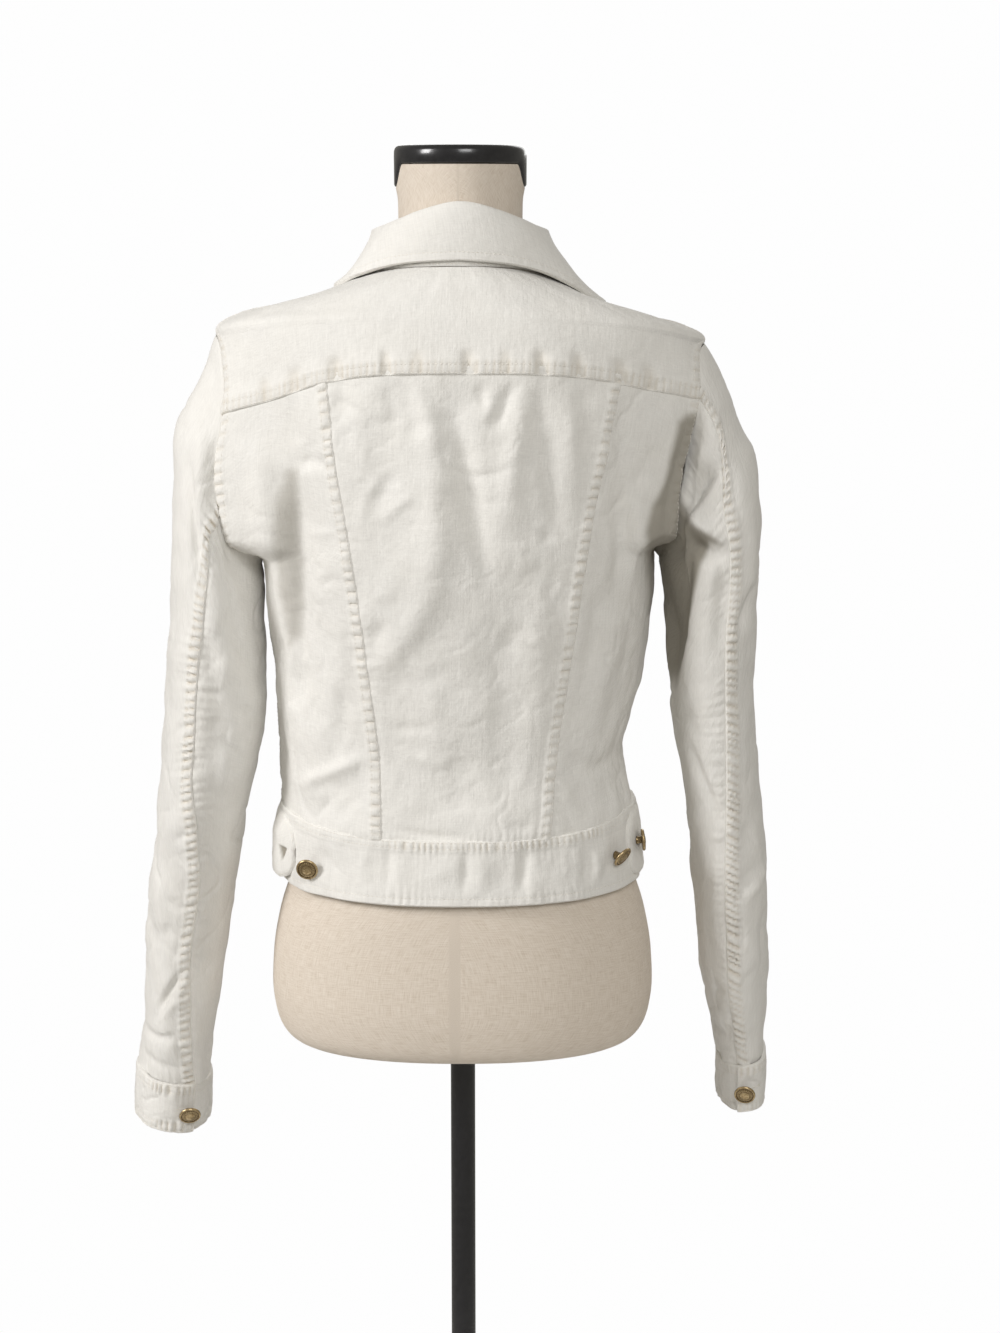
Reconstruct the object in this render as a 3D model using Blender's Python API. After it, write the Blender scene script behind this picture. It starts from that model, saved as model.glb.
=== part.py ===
"""Cropped denim jacket on a limbless dress form.

Metres, +Z up. The wearer faces +Y, so the back of the jacket looks towards -Y and the wearer's
right is +X. The origin is the centre of the stand's underside, on the floor.

The jacket's body is one surface of rings. A place on it is a level (a row of BODY_RINGS, whole or
in between) and an angle round the body: 0 is the centre back, 90 the wearer's right side, 180 the
centre front and -90 the left side. Every panel is a wall cut out of that surface between its seams,
and what lies on a panel is made from the same points, moved out.
"""

import math

import bmesh
import bpy
import numpy as np
from mathutils import Matrix, Vector

# ---------------------------------------------------------------- driving sizes, in metres
CLOTH = 0.0016
DOUBLE_CLOTH = 0.0026
TAB_CLOTH = 0.0022
SEAM_GAP = 0.0003
EASE = 0.0010
ARMHOLE_GAP = 0.0008
BAND_LIFT = 0.0006
PLACKET_CLOTH = 0.0020
BUTTON_RADIUS = 0.0085
BUTTON_DOME = 0.0032
BUTTON_CLEAR = 0.0004
SHANK_RADIUS = 0.0026
SHANK_HEIGHT = 0.0036
NECK_RADIUS = 0.0468
NECK_TOP = 1.4885
CAP_HEIGHT = 0.014
FORM_BOTTOM = 0.808
POLE_RADIUS = 0.0098
BASE_RADIUS = 0.160
BASE_EDGE = 0.008
BASE_CROWN = 0.012
HUB_RADIUS = 0.026
HUB_HEIGHT = 0.030

# ---------------------------------------------------------------- levels of the body surface
HEM = 0
BAND_TOP = 1
ARMPIT = 5
YOKE_SEAM = 8
SHOULDER_TIP = 9
NECK_SEAM = 12

# Rings of the jacket's outer surface. Heights are at the centre back, the sides and the centre
# front; left, right, back and front are the reach from the axis; wing is the extra cloth between
# the body's side and the armhole seam, and rise is how much higher a ring is on the right.
BODY_COLUMNS = (
    "z_back", "z_side", "z_front", "left", "right", "back", "front",
    "wing_left", "wing_right", "power", "rise_right",
)  # fmt: skip
BODY_RINGS = (
    (0.9405, 0.9420, 0.9450, 0.1420, 0.1400, 0.1060, 0.1020, 0.000, 0.000, 2.3, 0.0000),  # hem
    (0.9880, 1.0000, 0.9950, 0.1415, 0.1345, 0.0965, 0.0960, 0.000, 0.000, 2.3, 0.0000),  # band top
    (1.0400, 1.0420, 1.0420, 0.1420, 0.1255, 0.0890, 0.0930, 0.000, 0.000, 2.3, 0.0000),  # waist
    (1.1100, 1.1080, 1.1100, 0.1455, 0.1400, 0.0930, 0.1060, 0.000, 0.000, 2.3, 0.0000),  # ribs
    (1.1600, 1.1520, 1.1600, 0.1490, 0.1460, 0.1010, 0.1210, 0.000, 0.000, 2.3, 0.0000),  # bust
    (1.2050, 1.1900, 1.2020, 0.1520, 0.1490, 0.1065, 0.1240, 0.000, 0.000, 2.3, 0.0060),  # armpit
    (1.2260, 1.2060, 1.2240, 0.1540, 0.1520, 0.1080, 0.1210, 0.032, 0.022, 2.3, 0.0040),  # underarm fold
    (1.2750, 1.2470, 1.2680, 0.1600, 0.1600, 0.1100, 0.1100, 0.036, 0.027, 2.2, 0.0060),  # mid armhole
    (1.3400, 1.2940, 1.3150, 0.1700, 0.1720, 0.1060, 0.0920, 0.020, 0.020, 2.2, 0.0160),  # yoke seam
    (1.3780, 1.3640, 1.3450, 0.1860, 0.1850, 0.0940, 0.0740, 0.000, 0.000, 2.1, -0.0070),  # shoulder tip
    (1.3885, 1.3780, 1.3540, 0.1680, 0.1680, 0.0880, 0.0690, 0.000, 0.000, 2.0, -0.0095),  # shoulder round
    (1.4050, 1.3885, 1.3655, 0.1200, 0.1200, 0.0790, 0.0620, 0.000, 0.000, 2.0, -0.0095),  # mid shoulder
    (1.4145, 1.4070, 1.3760, 0.0720, 0.0720, 0.0660, 0.0520, 0.000, 0.000, 2.0, -0.0030),  # neck seam
)
WING_FROM = 46.0
WING_TO = 66.0

# Angle of the armhole seam by level, counted from the centre of the back or front.
ARMHOLE_COLUMNS = ("level", "back", "front")
ARMHOLE = (
    (5.00, 90.0, 90.0),
    (5.40, 80.0, 80.0),
    (6.00, 69.0, 71.0),
    (7.00, 65.0, 65.0),
    (8.00, 65.0, 66.0),
    (8.50, 69.0, 70.0),
    (8.80, 75.0, 76.0),
    (8.95, 82.0, 82.0),
    (9.00, 90.0, 90.0),
)

# Distance of the two back princess seams from the centre line.
PRINCESS_COLUMNS = ("level", "left", "right")
PRINCESS = (
    (1.0, 0.0628, 0.0652),
    (2.0, 0.0640, 0.0690),
    (3.0, 0.0712, 0.0785),
    (4.0, 0.0772, 0.0850),
    (5.0, 0.0830, 0.0910),
    (6.0, 0.0862, 0.0940),
    (7.0, 0.0930, 0.1035),
    (8.0, 0.1000, 0.1170),
)

# Largest folds of the body cloth, drawn from behind as a start, a middle and an end point.
# Depth is out of the surface, so a trough is negative. Side says which face of the body it is on.
FOLD_COLUMNS = ("side", "x0", "z0", "x1", "z1", "x2", "z2", "width", "depth")
BODY_FOLDS = (
    ("back", -0.019, 1.326, -0.028, 1.255, -0.014, 1.160, 0.011, 0.0030),
    ("back", -0.004, 1.312, 0.004, 1.247, 0.028, 1.170, 0.010, -0.0038),
    ("back", 0.036, 1.322, 0.047, 1.262, 0.049, 1.160, 0.010, 0.0026),
    ("back", 0.070, 1.310, 0.070, 1.247, 0.074, 1.190, 0.009, -0.0030),
    ("back", -0.062, 1.310, -0.058, 1.240, -0.050, 1.190, 0.013, -0.0016),
    ("back", -0.098, 1.276, -0.136, 1.262, -0.128, 1.110, 0.008, -0.0085),
    ("back", -0.124, 1.290, -0.152, 1.240, -0.148, 1.215, 0.013, 0.0040),
    ("back", 0.150, 1.300, 0.154, 1.250, 0.136, 1.165, 0.009, -0.0060),
    ("back", -0.070, 1.062, -0.101, 1.040, -0.132, 1.006, 0.009, 0.0026),
    ("back", -0.070, 1.036, -0.098, 1.018, -0.122, 1.002, 0.008, -0.0022),
    ("back", 0.104, 1.100, 0.098, 1.053, 0.078, 1.012, 0.009, -0.0026),
    ("back", 0.135, 1.190, 0.114, 1.144, 0.104, 1.068, 0.010, -0.0028),
    ("front", -0.126, 1.280, -0.132, 1.220, -0.112, 1.150, 0.010, -0.0060),
    ("front", 0.126, 1.276, 0.134, 1.214, 0.116, 1.140, 0.010, -0.0060),
    ("front", -0.070, 1.190, -0.086, 1.120, -0.100, 1.030, 0.012, -0.0030),
    ("front", 0.066, 1.184, 0.084, 1.110, 0.104, 1.024, 0.012, -0.0032),
    ("front", -0.050, 1.330, -0.078, 1.290, -0.112, 1.262, 0.012, -0.0022),
    ("front", 0.052, 1.330, 0.076, 1.286, 0.108, 1.256, 0.012, -0.0022),
)

# Rings of each sleeve below the armhole, seen from behind: the outer and the inner point, how far
# the ring reaches back and forward, how much of the armhole's own shape it keeps, and the angle
# round it of the rear and the front seam.
SLEEVE_COLUMNS = (
    "outer_x", "outer_z", "inner_x", "inner_z", "back", "front", "armhole_share",
    "rear_seam", "front_seam",
)  # fmt: skip
SLEEVE_LEFT = (
    (0.1967, 1.3364, 0.1545, 1.1862, -0.052, 0.051, 0.94, 116, 250),
    (0.2096, 1.3082, 0.1550, 1.1826, -0.055, 0.053, 0.82, 110, 250),
    (0.2193, 1.2852, 0.1550, 1.1775, -0.057, 0.054, 0.66, 102, 250),
    (0.2222, 1.2500, 0.1545, 1.1670, -0.059, 0.055, 0.46, 94, 250),
    (0.2238, 1.2040, 0.1538, 1.1490, -0.060, 0.055, 0.24, 88, 250),
    (0.2256, 1.1600, 0.1530, 1.1230, -0.060, 0.055, 0.08, 83, 250),
    (0.2310, 1.0940, 0.1520, 1.0790, -0.060, 0.053, 0.00, 78, 250),
    (0.2355, 1.0380, 0.1582, 1.0390, -0.059, 0.050, 0.00, 79, 250),
    (0.2418, 0.9772, 0.1730, 0.9800, -0.053, 0.052, 0.00, 96, 250),
    (0.2467, 0.9396, 0.1790, 0.9405, -0.049, 0.052, 0.00, 105, 250),
    (0.2504, 0.8911, 0.1860, 0.8930, -0.044, 0.051, 0.00, 102, 250),
    (0.2532, 0.8454, 0.1955, 0.8430, -0.041, 0.050, 0.00, 111, 250),
    (0.2575, 0.8080, 0.2005, 0.8040, -0.040, 0.047, 0.00, 120, 250),
    (0.2605, 0.7832, 0.2036, 0.7702, -0.0395, 0.0455, 0.00, 130, 250),
)
SLEEVE_RIGHT = (
    (0.1935, 1.3417, 0.1515, 1.1920, -0.052, 0.052, 0.95, 56, 250),
    (0.2020, 1.3227, 0.1525, 1.1895, -0.054, 0.054, 0.88, 55, 250),
    (0.2136, 1.2929, 0.1535, 1.1860, -0.056, 0.055, 0.72, 68, 250),
    (0.2255, 1.2699, 0.1545, 1.1780, -0.058, 0.057, 0.54, 80, 250),
    (0.2302, 1.2297, 0.1560, 1.1630, -0.058, 0.058, 0.32, 77, 250),
    (0.2317, 1.1885, 0.1580, 1.1400, -0.057, 0.060, 0.12, 78, 250),
    (0.2292, 1.1500, 0.1608, 1.1098, -0.055, 0.061, 0.02, 80, 250),
    (0.2282, 1.1091, 0.1637, 1.0852, -0.052, 0.061, 0.00, 81, 250),
    (0.2310, 1.0560, 0.1683, 1.0500, -0.047, 0.062, 0.00, 85, 250),
    (0.2372, 1.0031, 0.1754, 1.0030, -0.041, 0.065, 0.00, 92, 250),
    (0.2426, 0.9531, 0.1820, 0.9520, -0.034, 0.070, 0.00, 101, 250),
    (0.2454, 0.9099, 0.1877, 0.9070, -0.027, 0.074, 0.00, 107, 250),
    (0.2467, 0.8613, 0.1919, 0.8600, -0.020, 0.077, 0.00, 108, 250),
    (0.2463, 0.8265, 0.1985, 0.8240, -0.014, 0.080, 0.00, 109, 250),
    (0.2450, 0.7842, 0.2082, 0.7762, -0.0085, 0.0825, 0.00, 112, 250),
)
CUFF_RINGS = (
    (0.2615, 0.7830, 0.2030, 0.7700, -0.041, 0.047, 0.000, 128, 250),
    (0.2640, 0.7450, 0.2050, 0.7325, -0.042, 0.048, 0.000, 128, 250),
)
CUFF_RINGS_RIGHT = (
    (0.2458, 0.7840, 0.2075, 0.7760, -0.010, 0.084, 0.000, 100, 250),
    (0.2455, 0.7465, 0.2085, 0.7390, -0.009, 0.085, 0.000, 100, 250),
)
SLEEVE_POWER = 2.2
SLEEVE_FOLDS_LEFT = (
    ("back", 0.181, 1.205, 0.168, 1.170, 0.158, 1.100, 0.007, -0.0040),
    ("back", 0.214, 1.230, 0.210, 1.180, 0.206, 1.120, 0.008, -0.0030),
    ("back", 0.236, 0.868, 0.216, 0.852, 0.196, 0.846, 0.007, -0.0030),
    ("back", 0.254, 0.818, 0.240, 0.826, 0.222, 0.846, 0.006, -0.0030),
    ("front", 0.214, 1.220, 0.190, 1.180, 0.172, 1.110, 0.008, -0.0035),
    ("front", 0.240, 0.960, 0.214, 0.940, 0.186, 0.934, 0.008, -0.0035),
    ("front", 0.244, 0.920, 0.222, 0.906, 0.192, 0.904, 0.008, -0.0030),
)
SLEEVE_FOLDS_RIGHT = (
    ("back", 0.176, 1.232, 0.178, 1.214, 0.202, 1.200, 0.009, 0.0042),
    ("back", 0.196, 1.262, 0.184, 1.246, 0.174, 1.238, 0.006, -0.0045),
    ("back", 0.196, 1.186, 0.200, 1.160, 0.196, 1.126, 0.007, -0.0035),
    ("back", 0.236, 1.160, 0.226, 1.136, 0.214, 1.128, 0.006, -0.0040),
    ("back", 0.244, 0.926, 0.228, 0.900, 0.226, 0.866, 0.007, -0.0032),
    ("back", 0.240, 0.860, 0.222, 0.846, 0.204, 0.846, 0.007, -0.0030),
    ("front", 0.214, 1.220, 0.190, 1.180, 0.172, 1.110, 0.008, -0.0035),
    ("front", 0.238, 0.990, 0.214, 0.970, 0.182, 0.962, 0.008, -0.0035),
    ("front", 0.240, 0.950, 0.222, 0.932, 0.190, 0.930, 0.008, -0.0030),
)

# The collar by angle round the neck, left and right the same but for where the outer edge lies:
# level and angle of the body surface under the edge, its lift off that surface, and how far the
# cloth stands out and has dropped where it bends from the neck to the shoulder.
COLLAR_END = 170.0
COLLAR_COLUMNS = (
    "angle", "edge_angle", "edge_level_left", "edge_level_right", "lift", "roll", "drop",
)  # fmt: skip
COLLAR = (
    (0.0, 0.0, 11.97, 11.97, 0.0080, 0.009, -0.0015),
    (40.0, 40.0, 11.80, 11.68, 0.0065, 0.009, 0.0010),
    (70.0, 68.0, 11.62, 11.36, 0.0048, 0.007, 0.0140),
    (90.0, 86.0, 11.56, 11.24, 0.0042, 0.005, 0.0240),
    (115.0, 107.0, 11.38, 11.18, 0.0042, 0.007, 0.0190),
    (140.0, 130.0, 11.05, 10.95, 0.0042, 0.008, 0.0150),
    (160.0, 146.0, 10.40, 10.35, 0.0042, 0.008, 0.0120),
    (170.0, 153.0, 9.90, 9.90, 0.0042, 0.008, 0.0100),
)
FOLD_SIDE = 0.0665
FOLD_BACK = 0.0600
FOLD_FRONT = 0.0545
FOLD_Z_BACK = 1.4620
FOLD_Z_SIDE = 1.4410
FOLD_Z_FRONT = 1.3960
FOLD_FLAT = 0.3

# Rings of the dress form below the shoulders, named as those of the jacket.
FORM_COLUMNS = ("z_back", "z_side", "z_front", "half", "back", "front", "power")
FORM_RINGS = (
    (FORM_BOTTOM, FORM_BOTTOM, FORM_BOTTOM, 0.1220, 0.0780, 0.0740, 2.3),
    (0.8110, 0.8110, 0.8110, 0.1350, 0.0880, 0.0840, 2.3),
    (0.8185, 0.8185, 0.8185, 0.1430, 0.0950, 0.0910, 2.3),
    (0.8320, 0.8320, 0.8320, 0.1482, 0.0990, 0.0950, 2.3),
    (0.8540, 0.8540, 0.8540, 0.1508, 0.1020, 0.0980, 2.3),
    (0.8800, 0.8800, 0.8800, 0.1495, 0.1025, 0.0980, 2.3),
    (0.9120, 0.9120, 0.9120, 0.1440, 0.1015, 0.0965, 2.3),
    (0.9400, 0.9400, 0.9400, 0.1368, 0.0995, 0.0945, 2.3),
    (0.9850, 0.9850, 0.9850, 0.1260, 0.0900, 0.0880, 2.3),
    (1.0400, 1.0400, 1.0400, 0.1170, 0.0800, 0.0810, 2.3),
    (1.1000, 1.1000, 1.1000, 0.1280, 0.0840, 0.0930, 2.3),
    (1.1550, 1.1550, 1.1550, 0.1380, 0.0920, 0.1120, 2.3),
    (1.2000, 1.2000, 1.2000, 0.1400, 0.0960, 0.1140, 2.3),
    (1.2600, 1.2500, 1.2600, 0.1440, 0.0990, 0.1020, 2.2),
    (1.3250, 1.3150, 1.3050, 0.1560, 0.0970, 0.0820, 2.2),
    (1.3640, 1.3520, 1.3360, 0.1640, 0.0870, 0.0660, 2.1),
)
FORM_SHOULDER_LEVELS = (10.05, 10.5, 11.0, 11.4)
FORM_NECK_BASE = (
    (1.4120, 1.4020, 1.3690, 0.0680, 0.0620, 0.0470, 2.0),
    (1.4230, 1.4130, 1.3900, 0.0560, 0.0565, 0.0430, 2.0),
)
NECK_RINGS = (
    # height, radius sideways, reach back, reach front
    (1.4420, 0.0468, 0.0525, 0.0420),
    (1.4650, 0.0470, 0.0520, 0.0430),
    (NECK_TOP, 0.0486, 0.0530, 0.0440),
)

# ---------------------------------------------------------------- colours
COTTON = ("white_denim", (0.86, 0.85, 0.82, 1.0), 0.85, 0.0)
BRASS = ("antique_brass", (0.52, 0.39, 0.20, 1.0), 0.38, 1.0)
LINEN = ("beige_linen", (0.75, 0.68, 0.57, 1.0), 0.9, 0.0)
ENAMEL = ("black_enamel", (0.01, 0.01, 0.012, 1.0), 0.3, 0.0)


# ---------------------------------------------------------------- helpers
def clear_scene():
    for item in list(bpy.data.objects):
        bpy.data.objects.remove(item, do_unlink=True)


def material(spec):
    name, colour, roughness, metallic = spec
    found = bpy.data.materials.get(name)
    if found:
        return found
    made = bpy.data.materials.new(name)
    made.use_nodes = True
    shader = made.node_tree.nodes["Principled BSDF"]
    shader.inputs["Base Color"].default_value = colour
    shader.inputs["Roughness"].default_value = roughness
    shader.inputs["Metallic"].default_value = metallic
    return made


def table_column(rows, columns, name):
    place = columns.index(name)
    return np.array([row[place] for row in rows], float)


def smooth_through(at, knots, values):
    """A curve through the values at the knots that never overshoots between two of them."""
    at = np.clip(np.asarray(at, float), knots[0], knots[-1])
    step = np.diff(knots)
    rise = np.diff(values, axis=0) / step.reshape((-1,) + (1,) * (values.ndim - 1))
    slope = np.zeros_like(values)
    slope[0] = rise[0]
    slope[-1] = rise[-1]
    same_way = rise[:-1] * rise[1:] > 0
    total = np.where(same_way, rise[:-1] + rise[1:], 1.0)
    slope[1:-1] = np.where(same_way, 2 * rise[:-1] * rise[1:] / total, 0.0)
    cell = np.clip(np.searchsorted(knots, at, side="right") - 1, 0, len(knots) - 2)
    width = step[cell]
    part = (at - knots[cell]) / width
    if values.ndim > 1:
        part = part[..., None]
        width = width[..., None]
    square = part * part
    cube = square * part
    return (
        (2 * cube - 3 * square + 1) * values[cell]
        + (cube - 2 * square + part) * width * slope[cell]
        + (3 * square - 2 * cube) * values[cell + 1]
        + (cube - square) * width * slope[cell + 1]
    )


def look_up(rows, columns, key, name, at):
    return smooth_through(at, table_column(rows, columns, key), table_column(rows, columns, name))


def ease_in_out(part):
    part = np.clip(part, 0.0, 1.0)
    return part * part * (3 - 2 * part)


def signed_power(value, power):
    return np.sign(value) * np.abs(value) ** (2.0 / power)


def unit(vectors):
    return vectors / np.maximum(np.linalg.norm(vectors, axis=-1, keepdims=True), 1e-12)


FOLD_STEPS = 10


def fold_height(folds, x, z, is_back):
    """Height of the troughs and ridges in a table of folds at places seen from behind."""
    height = np.zeros(np.shape(x))
    for side, x0, z0, x1, z1, x2, z2, width, depth in folds:
        nearest = np.full(np.shape(x), 1e9)
        along = np.zeros(np.shape(x))
        for number in range(FOLD_STEPS):
            ends = []
            for part in (number / FOLD_STEPS, (number + 1) / FOLD_STEPS):
                rest = 1 - part
                ends.append(
                    (
                        rest * rest * x0 + 2 * rest * part * x1 + part * part * x2,
                        rest * rest * z0 + 2 * rest * part * z1 + part * part * z2,
                    )
                )
            (ax, az), (bx, bz) = ends
            dx, dz = bx - ax, bz - az
            part = np.clip(((x - ax) * dx + (z - az) * dz) / (dx * dx + dz * dz), 0, 1)
            distance = np.hypot(x - ax - part * dx, z - az - part * dz)
            closer = distance < nearest
            nearest = np.where(closer, distance, nearest)
            along = np.where(closer, (number + part) / FOLD_STEPS, along)
        fade = ease_in_out(along / 0.25) * ease_in_out((1 - along) / 0.25)
        on_side = is_back if side == "back" else ~is_back
        height += np.where(on_side, depth * fade * np.exp(-((nearest / width) ** 2)), 0.0)
    return height


# ---------------------------------------------------------------- the body surface
BODY_LEVELS = np.arange(len(BODY_RINGS), dtype=float)


def body_base(level, angle):
    """Points of the jacket's body surface before its folds."""
    level, angle = np.broadcast_arrays(np.asarray(level, float), np.asarray(angle, float))
    ring = smooth_through(level, BODY_LEVELS, np.array(BODY_RINGS, float))
    get = {name: ring[..., place] for place, name in enumerate(BODY_COLUMNS)}
    turn = np.radians(angle)
    side, ahead = np.sin(turn), -np.cos(turn)
    right = side >= 0
    front = ahead > 0
    half = np.where(right, get["right"], get["left"])
    wing = np.where(right, get["wing_right"], get["wing_left"])
    depth = np.where(front, get["front"], get["back"])
    from_middle = np.degrees(np.arcsin(np.clip(np.abs(side), 0, 1)))
    spread = ease_in_out((from_middle - WING_FROM) / (WING_TO - WING_FROM))
    x = half * signed_power(side, get["power"]) + np.sign(side) * wing * spread
    y = depth * signed_power(ahead, get["power"])
    middle_z = np.where(front, get["z_front"], get["z_back"])
    z = middle_z + (get["z_side"] - middle_z) * np.abs(side) ** 3
    z = z + np.where(right, get["rise_right"], 0.0) * np.abs(side) ** 3
    return np.stack([x, y, z], axis=-1)


def body_normal(level, angle):
    step_level, step_angle = 0.02, 0.4
    top = len(BODY_RINGS) - 1
    low = np.clip(np.asarray(level, float) - step_level, 0, top)
    high = np.clip(np.asarray(level, float) + step_level, 0, top)
    up = body_base(high, angle) - body_base(low, angle)
    across = body_base(level, np.asarray(angle) + step_angle)
    across = across - body_base(level, np.asarray(angle) - step_angle)
    return unit(np.cross(across, up))


def body(level, angle, lift=0.0, folded=True):
    """Points of the body surface, moved out by lift."""
    base = body_base(level, angle)
    height = np.asarray(lift, float)
    if folded:
        height = height + fold_height(BODY_FOLDS, base[..., 0], base[..., 2], base[..., 1] < 0)
    height = np.broadcast_to(height, base.shape[:-1])
    return base + body_normal(level, angle) * height[..., None]


def armhole_angle(level, face):
    return look_up(ARMHOLE, ARMHOLE_COLUMNS, "level", face, level)


def princess_angle(level, side):
    """Angle of a back princess seam, from its distance to the centre line."""
    distance = look_up(PRINCESS, PRINCESS_COLUMNS, "level", side, level)
    ring = smooth_through(level, BODY_LEVELS, np.array(BODY_RINGS, float))
    half = ring[..., BODY_COLUMNS.index(side)]
    power = ring[..., BODY_COLUMNS.index("power")]
    angle = np.degrees(np.arcsin(np.clip(distance / half, 0, 1) ** (power / 2)))
    return -angle if side == "left" else angle


def back_edge(level, sign):
    """Angle of the side seam, then the armhole seam, then the shoulder seam, on the back."""
    level = np.asarray(level, float)
    return sign * np.where(level < SHOULDER_TIP, armhole_angle(level, "back"), 90.0)


def front_edge(level, sign):
    level = np.asarray(level, float)
    return sign * (180 - np.where(level < SHOULDER_TIP, armhole_angle(level, "front"), 90.0))


# ---------------------------------------------------------------- walls
def closed_object(name, bm, finish):
    """Links a closed mesh as an object with its faces turned out."""
    bmesh.ops.recalc_face_normals(bm, faces=bm.faces)
    mesh = bpy.data.meshes.new(name)
    bm.to_mesh(mesh)
    bm.free()
    mesh.materials.append(material(finish))
    mesh.shade_smooth()
    mesh.set_sharp_from_angle(angle=math.radians(40))
    item = bpy.data.objects.new(name, mesh)
    bpy.context.scene.collection.objects.link(item)
    return item


def wall(name, outer, inner, finish=COTTON):
    """A cloth wall between two grids of points, rows by columns, closed all round its edge."""
    rows, columns = outer.shape[:2]
    bm = bmesh.new()
    skins = [[[bm.verts.new(p) for p in row] for row in grid] for grid in (outer, inner)]
    for near, far in ((skins[0], skins[1]),):
        for i in range(rows - 1):
            for j in range(columns - 1):
                bm.faces.new((near[i][j], near[i][j + 1], near[i + 1][j + 1], near[i + 1][j]))
                bm.faces.new((far[i][j], far[i + 1][j], far[i + 1][j + 1], far[i][j + 1]))
        for i in range(rows - 1):
            for j in (0, columns - 1):
                bm.faces.new((near[i][j], near[i + 1][j], far[i + 1][j], far[i][j]))
        for j in range(columns - 1):
            for i in (0, rows - 1):
                bm.faces.new((near[i][j], near[i][j + 1], far[i][j + 1], far[i][j]))
    return closed_object(name, bm, finish)


def solid_of_rings(name, rings, finish):
    """A solid through closed rings of points, flat at its first and last ring."""
    bm = bmesh.new()
    made = [[bm.verts.new(p) for p in ring] for ring in rings]
    count = len(made[0])
    for low, high in zip(made, made[1:]):
        for j in range(count):
            k = (j + 1) % count
            bm.faces.new((low[j], low[k], high[k], high[j]))
    bm.faces.new(list(reversed(made[0])))
    bm.faces.new(made[-1])
    return closed_object(name, bm, finish)


def turned(name, profile, sides, finish, matrix=None):
    """A solid turned round Z from a profile of (radius, height) that starts and ends on the axis."""
    bm = bmesh.new()
    rings = []
    for radius, height in profile:
        if radius == 0:
            rings.append([bm.verts.new((0, 0, height))])
            continue
        ring = []
        for number in range(sides):
            turn = 2 * math.pi * number / sides
            ring.append(bm.verts.new((radius * math.cos(turn), radius * math.sin(turn), height)))
        rings.append(ring)
    for low, high in zip(rings, rings[1:]):
        for j in range(sides):
            k = (j + 1) % sides
            if len(low) == 1:
                bm.faces.new((low[0], high[k], high[j]))
            elif len(high) == 1:
                bm.faces.new((low[j], low[k], high[0]))
            else:
                bm.faces.new((low[j], low[k], high[k], high[j]))
    item = closed_object(name, bm, finish)
    if matrix is not None:
        item.matrix_world = matrix
    return item


def trimmed_levels(levels, angles, trim_low, trim_high):
    """The level of each grid point, with half a seam gap taken off the first and last rows."""
    grid = np.repeat(np.asarray(levels, float)[:, None], angles.shape[1], axis=1)
    for row, way, trim in ((0, 1, trim_low), (-1, -1, trim_high)):
        if trim:
            step = 0.01 * way
            ahead = body_base(grid[row] + step, angles[row])
            speed = np.linalg.norm(ahead - body_base(grid[row], angles[row]), axis=-1) / 0.01
            grid[row] += way * SEAM_GAP / 2 / speed
    return grid


def panel(name, levels, first_edge, last_edge, columns, lift=0.0, cloth=CLOTH,
          trim=(True, True, True, True), bunch=1.0):  # fmt: skip
    """A wall of the body surface. Trim says which edges meet a seam: low, high, first, last."""
    levels = np.asarray(levels, float)
    first, last = first_edge(levels), last_edge(levels)
    for edge, other, wanted in ((first, last, trim[2]), (last, first, trim[3])):
        if wanted:
            way = np.sign(other - edge)
            ahead = body_base(levels, edge + 0.1 * way)
            speed = np.linalg.norm(ahead - body_base(levels, edge), axis=-1) / 0.1
            edge += way * SEAM_GAP / 2 / speed
    share = np.linspace(0, 1, columns + 1) ** bunch
    angles = first[:, None] + (last - first)[:, None] * share[None, :]
    grid = trimmed_levels(levels, angles, trim[0], trim[1])
    outer = body(grid, angles, lift)
    inner = body(grid, angles, lift - cloth)
    return wall(name, outer, inner)


def constant_edge(angle):
    return lambda levels: np.full(np.shape(levels), float(angle))


# ---------------------------------------------------------------- body panels
BACK_LEVELS = (1, 1.5, 2, 2.5, 3, 3.5, 4, 4.5, 5, 5.07, 5.2, 5.4, 5.75, 6, 6.35, 6.7, 7, 7.33,
               7.66, 8)  # fmt: skip
FRONT_LEVELS = (1, 1.5, 2, 2.5, 3, 3.5, 4, 4.5, 5, 5.07, 5.2, 5.4, 5.75, 6, 6.5, 7, 7.5, 8, 8.5,
                8.8, 8.95, 9, 9.5, 10, 10.7, 11.4, 12)  # fmt: skip
YOKE_LEVELS = (8, 8.3, 8.6, 8.8, 8.92, 8.98, 9, 9.5, 10, 10.6, 11.2, 11.7, 12)
BAND_LEVELS = (0, 0.33, 0.67, 1)
CENTRE_COLUMNS = 12
SIDE_COLUMNS = 8
YOKE_COLUMNS = 24
FRONT_COLUMNS = 9
BAND_COLUMNS = 30
FRONT_BAND_COLUMNS = 14
UNDERLAP_ANGLE = 7.0


def build_back():
    panel(
        "back_yoke", YOKE_LEVELS, lambda v: back_edge(v, -1), lambda v: back_edge(v, 1),
        YOKE_COLUMNS, trim=(True, False, True, True),
    )  # fmt: skip
    panel(
        "back_centre", BACK_LEVELS, lambda v: princess_angle(v, "left"),
        lambda v: princess_angle(v, "right"), CENTRE_COLUMNS,
    )  # fmt: skip
    panel(
        "back_side_left", BACK_LEVELS, lambda v: back_edge(v, -1),
        lambda v: princess_angle(v, "left"), SIDE_COLUMNS,
    )  # fmt: skip
    panel(
        "back_side_right", BACK_LEVELS, lambda v: princess_angle(v, "right"),
        lambda v: back_edge(v, 1), SIDE_COLUMNS,
    )  # fmt: skip


def build_fronts():
    for name, sign in (("front_left", -1), ("front_right", 1)):
        panel(
            name, FRONT_LEVELS, lambda v, s=sign: front_edge(v, s), constant_edge(sign * 180),
            FRONT_COLUMNS, trim=(True, False, True, True),
        )  # fmt: skip


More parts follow.
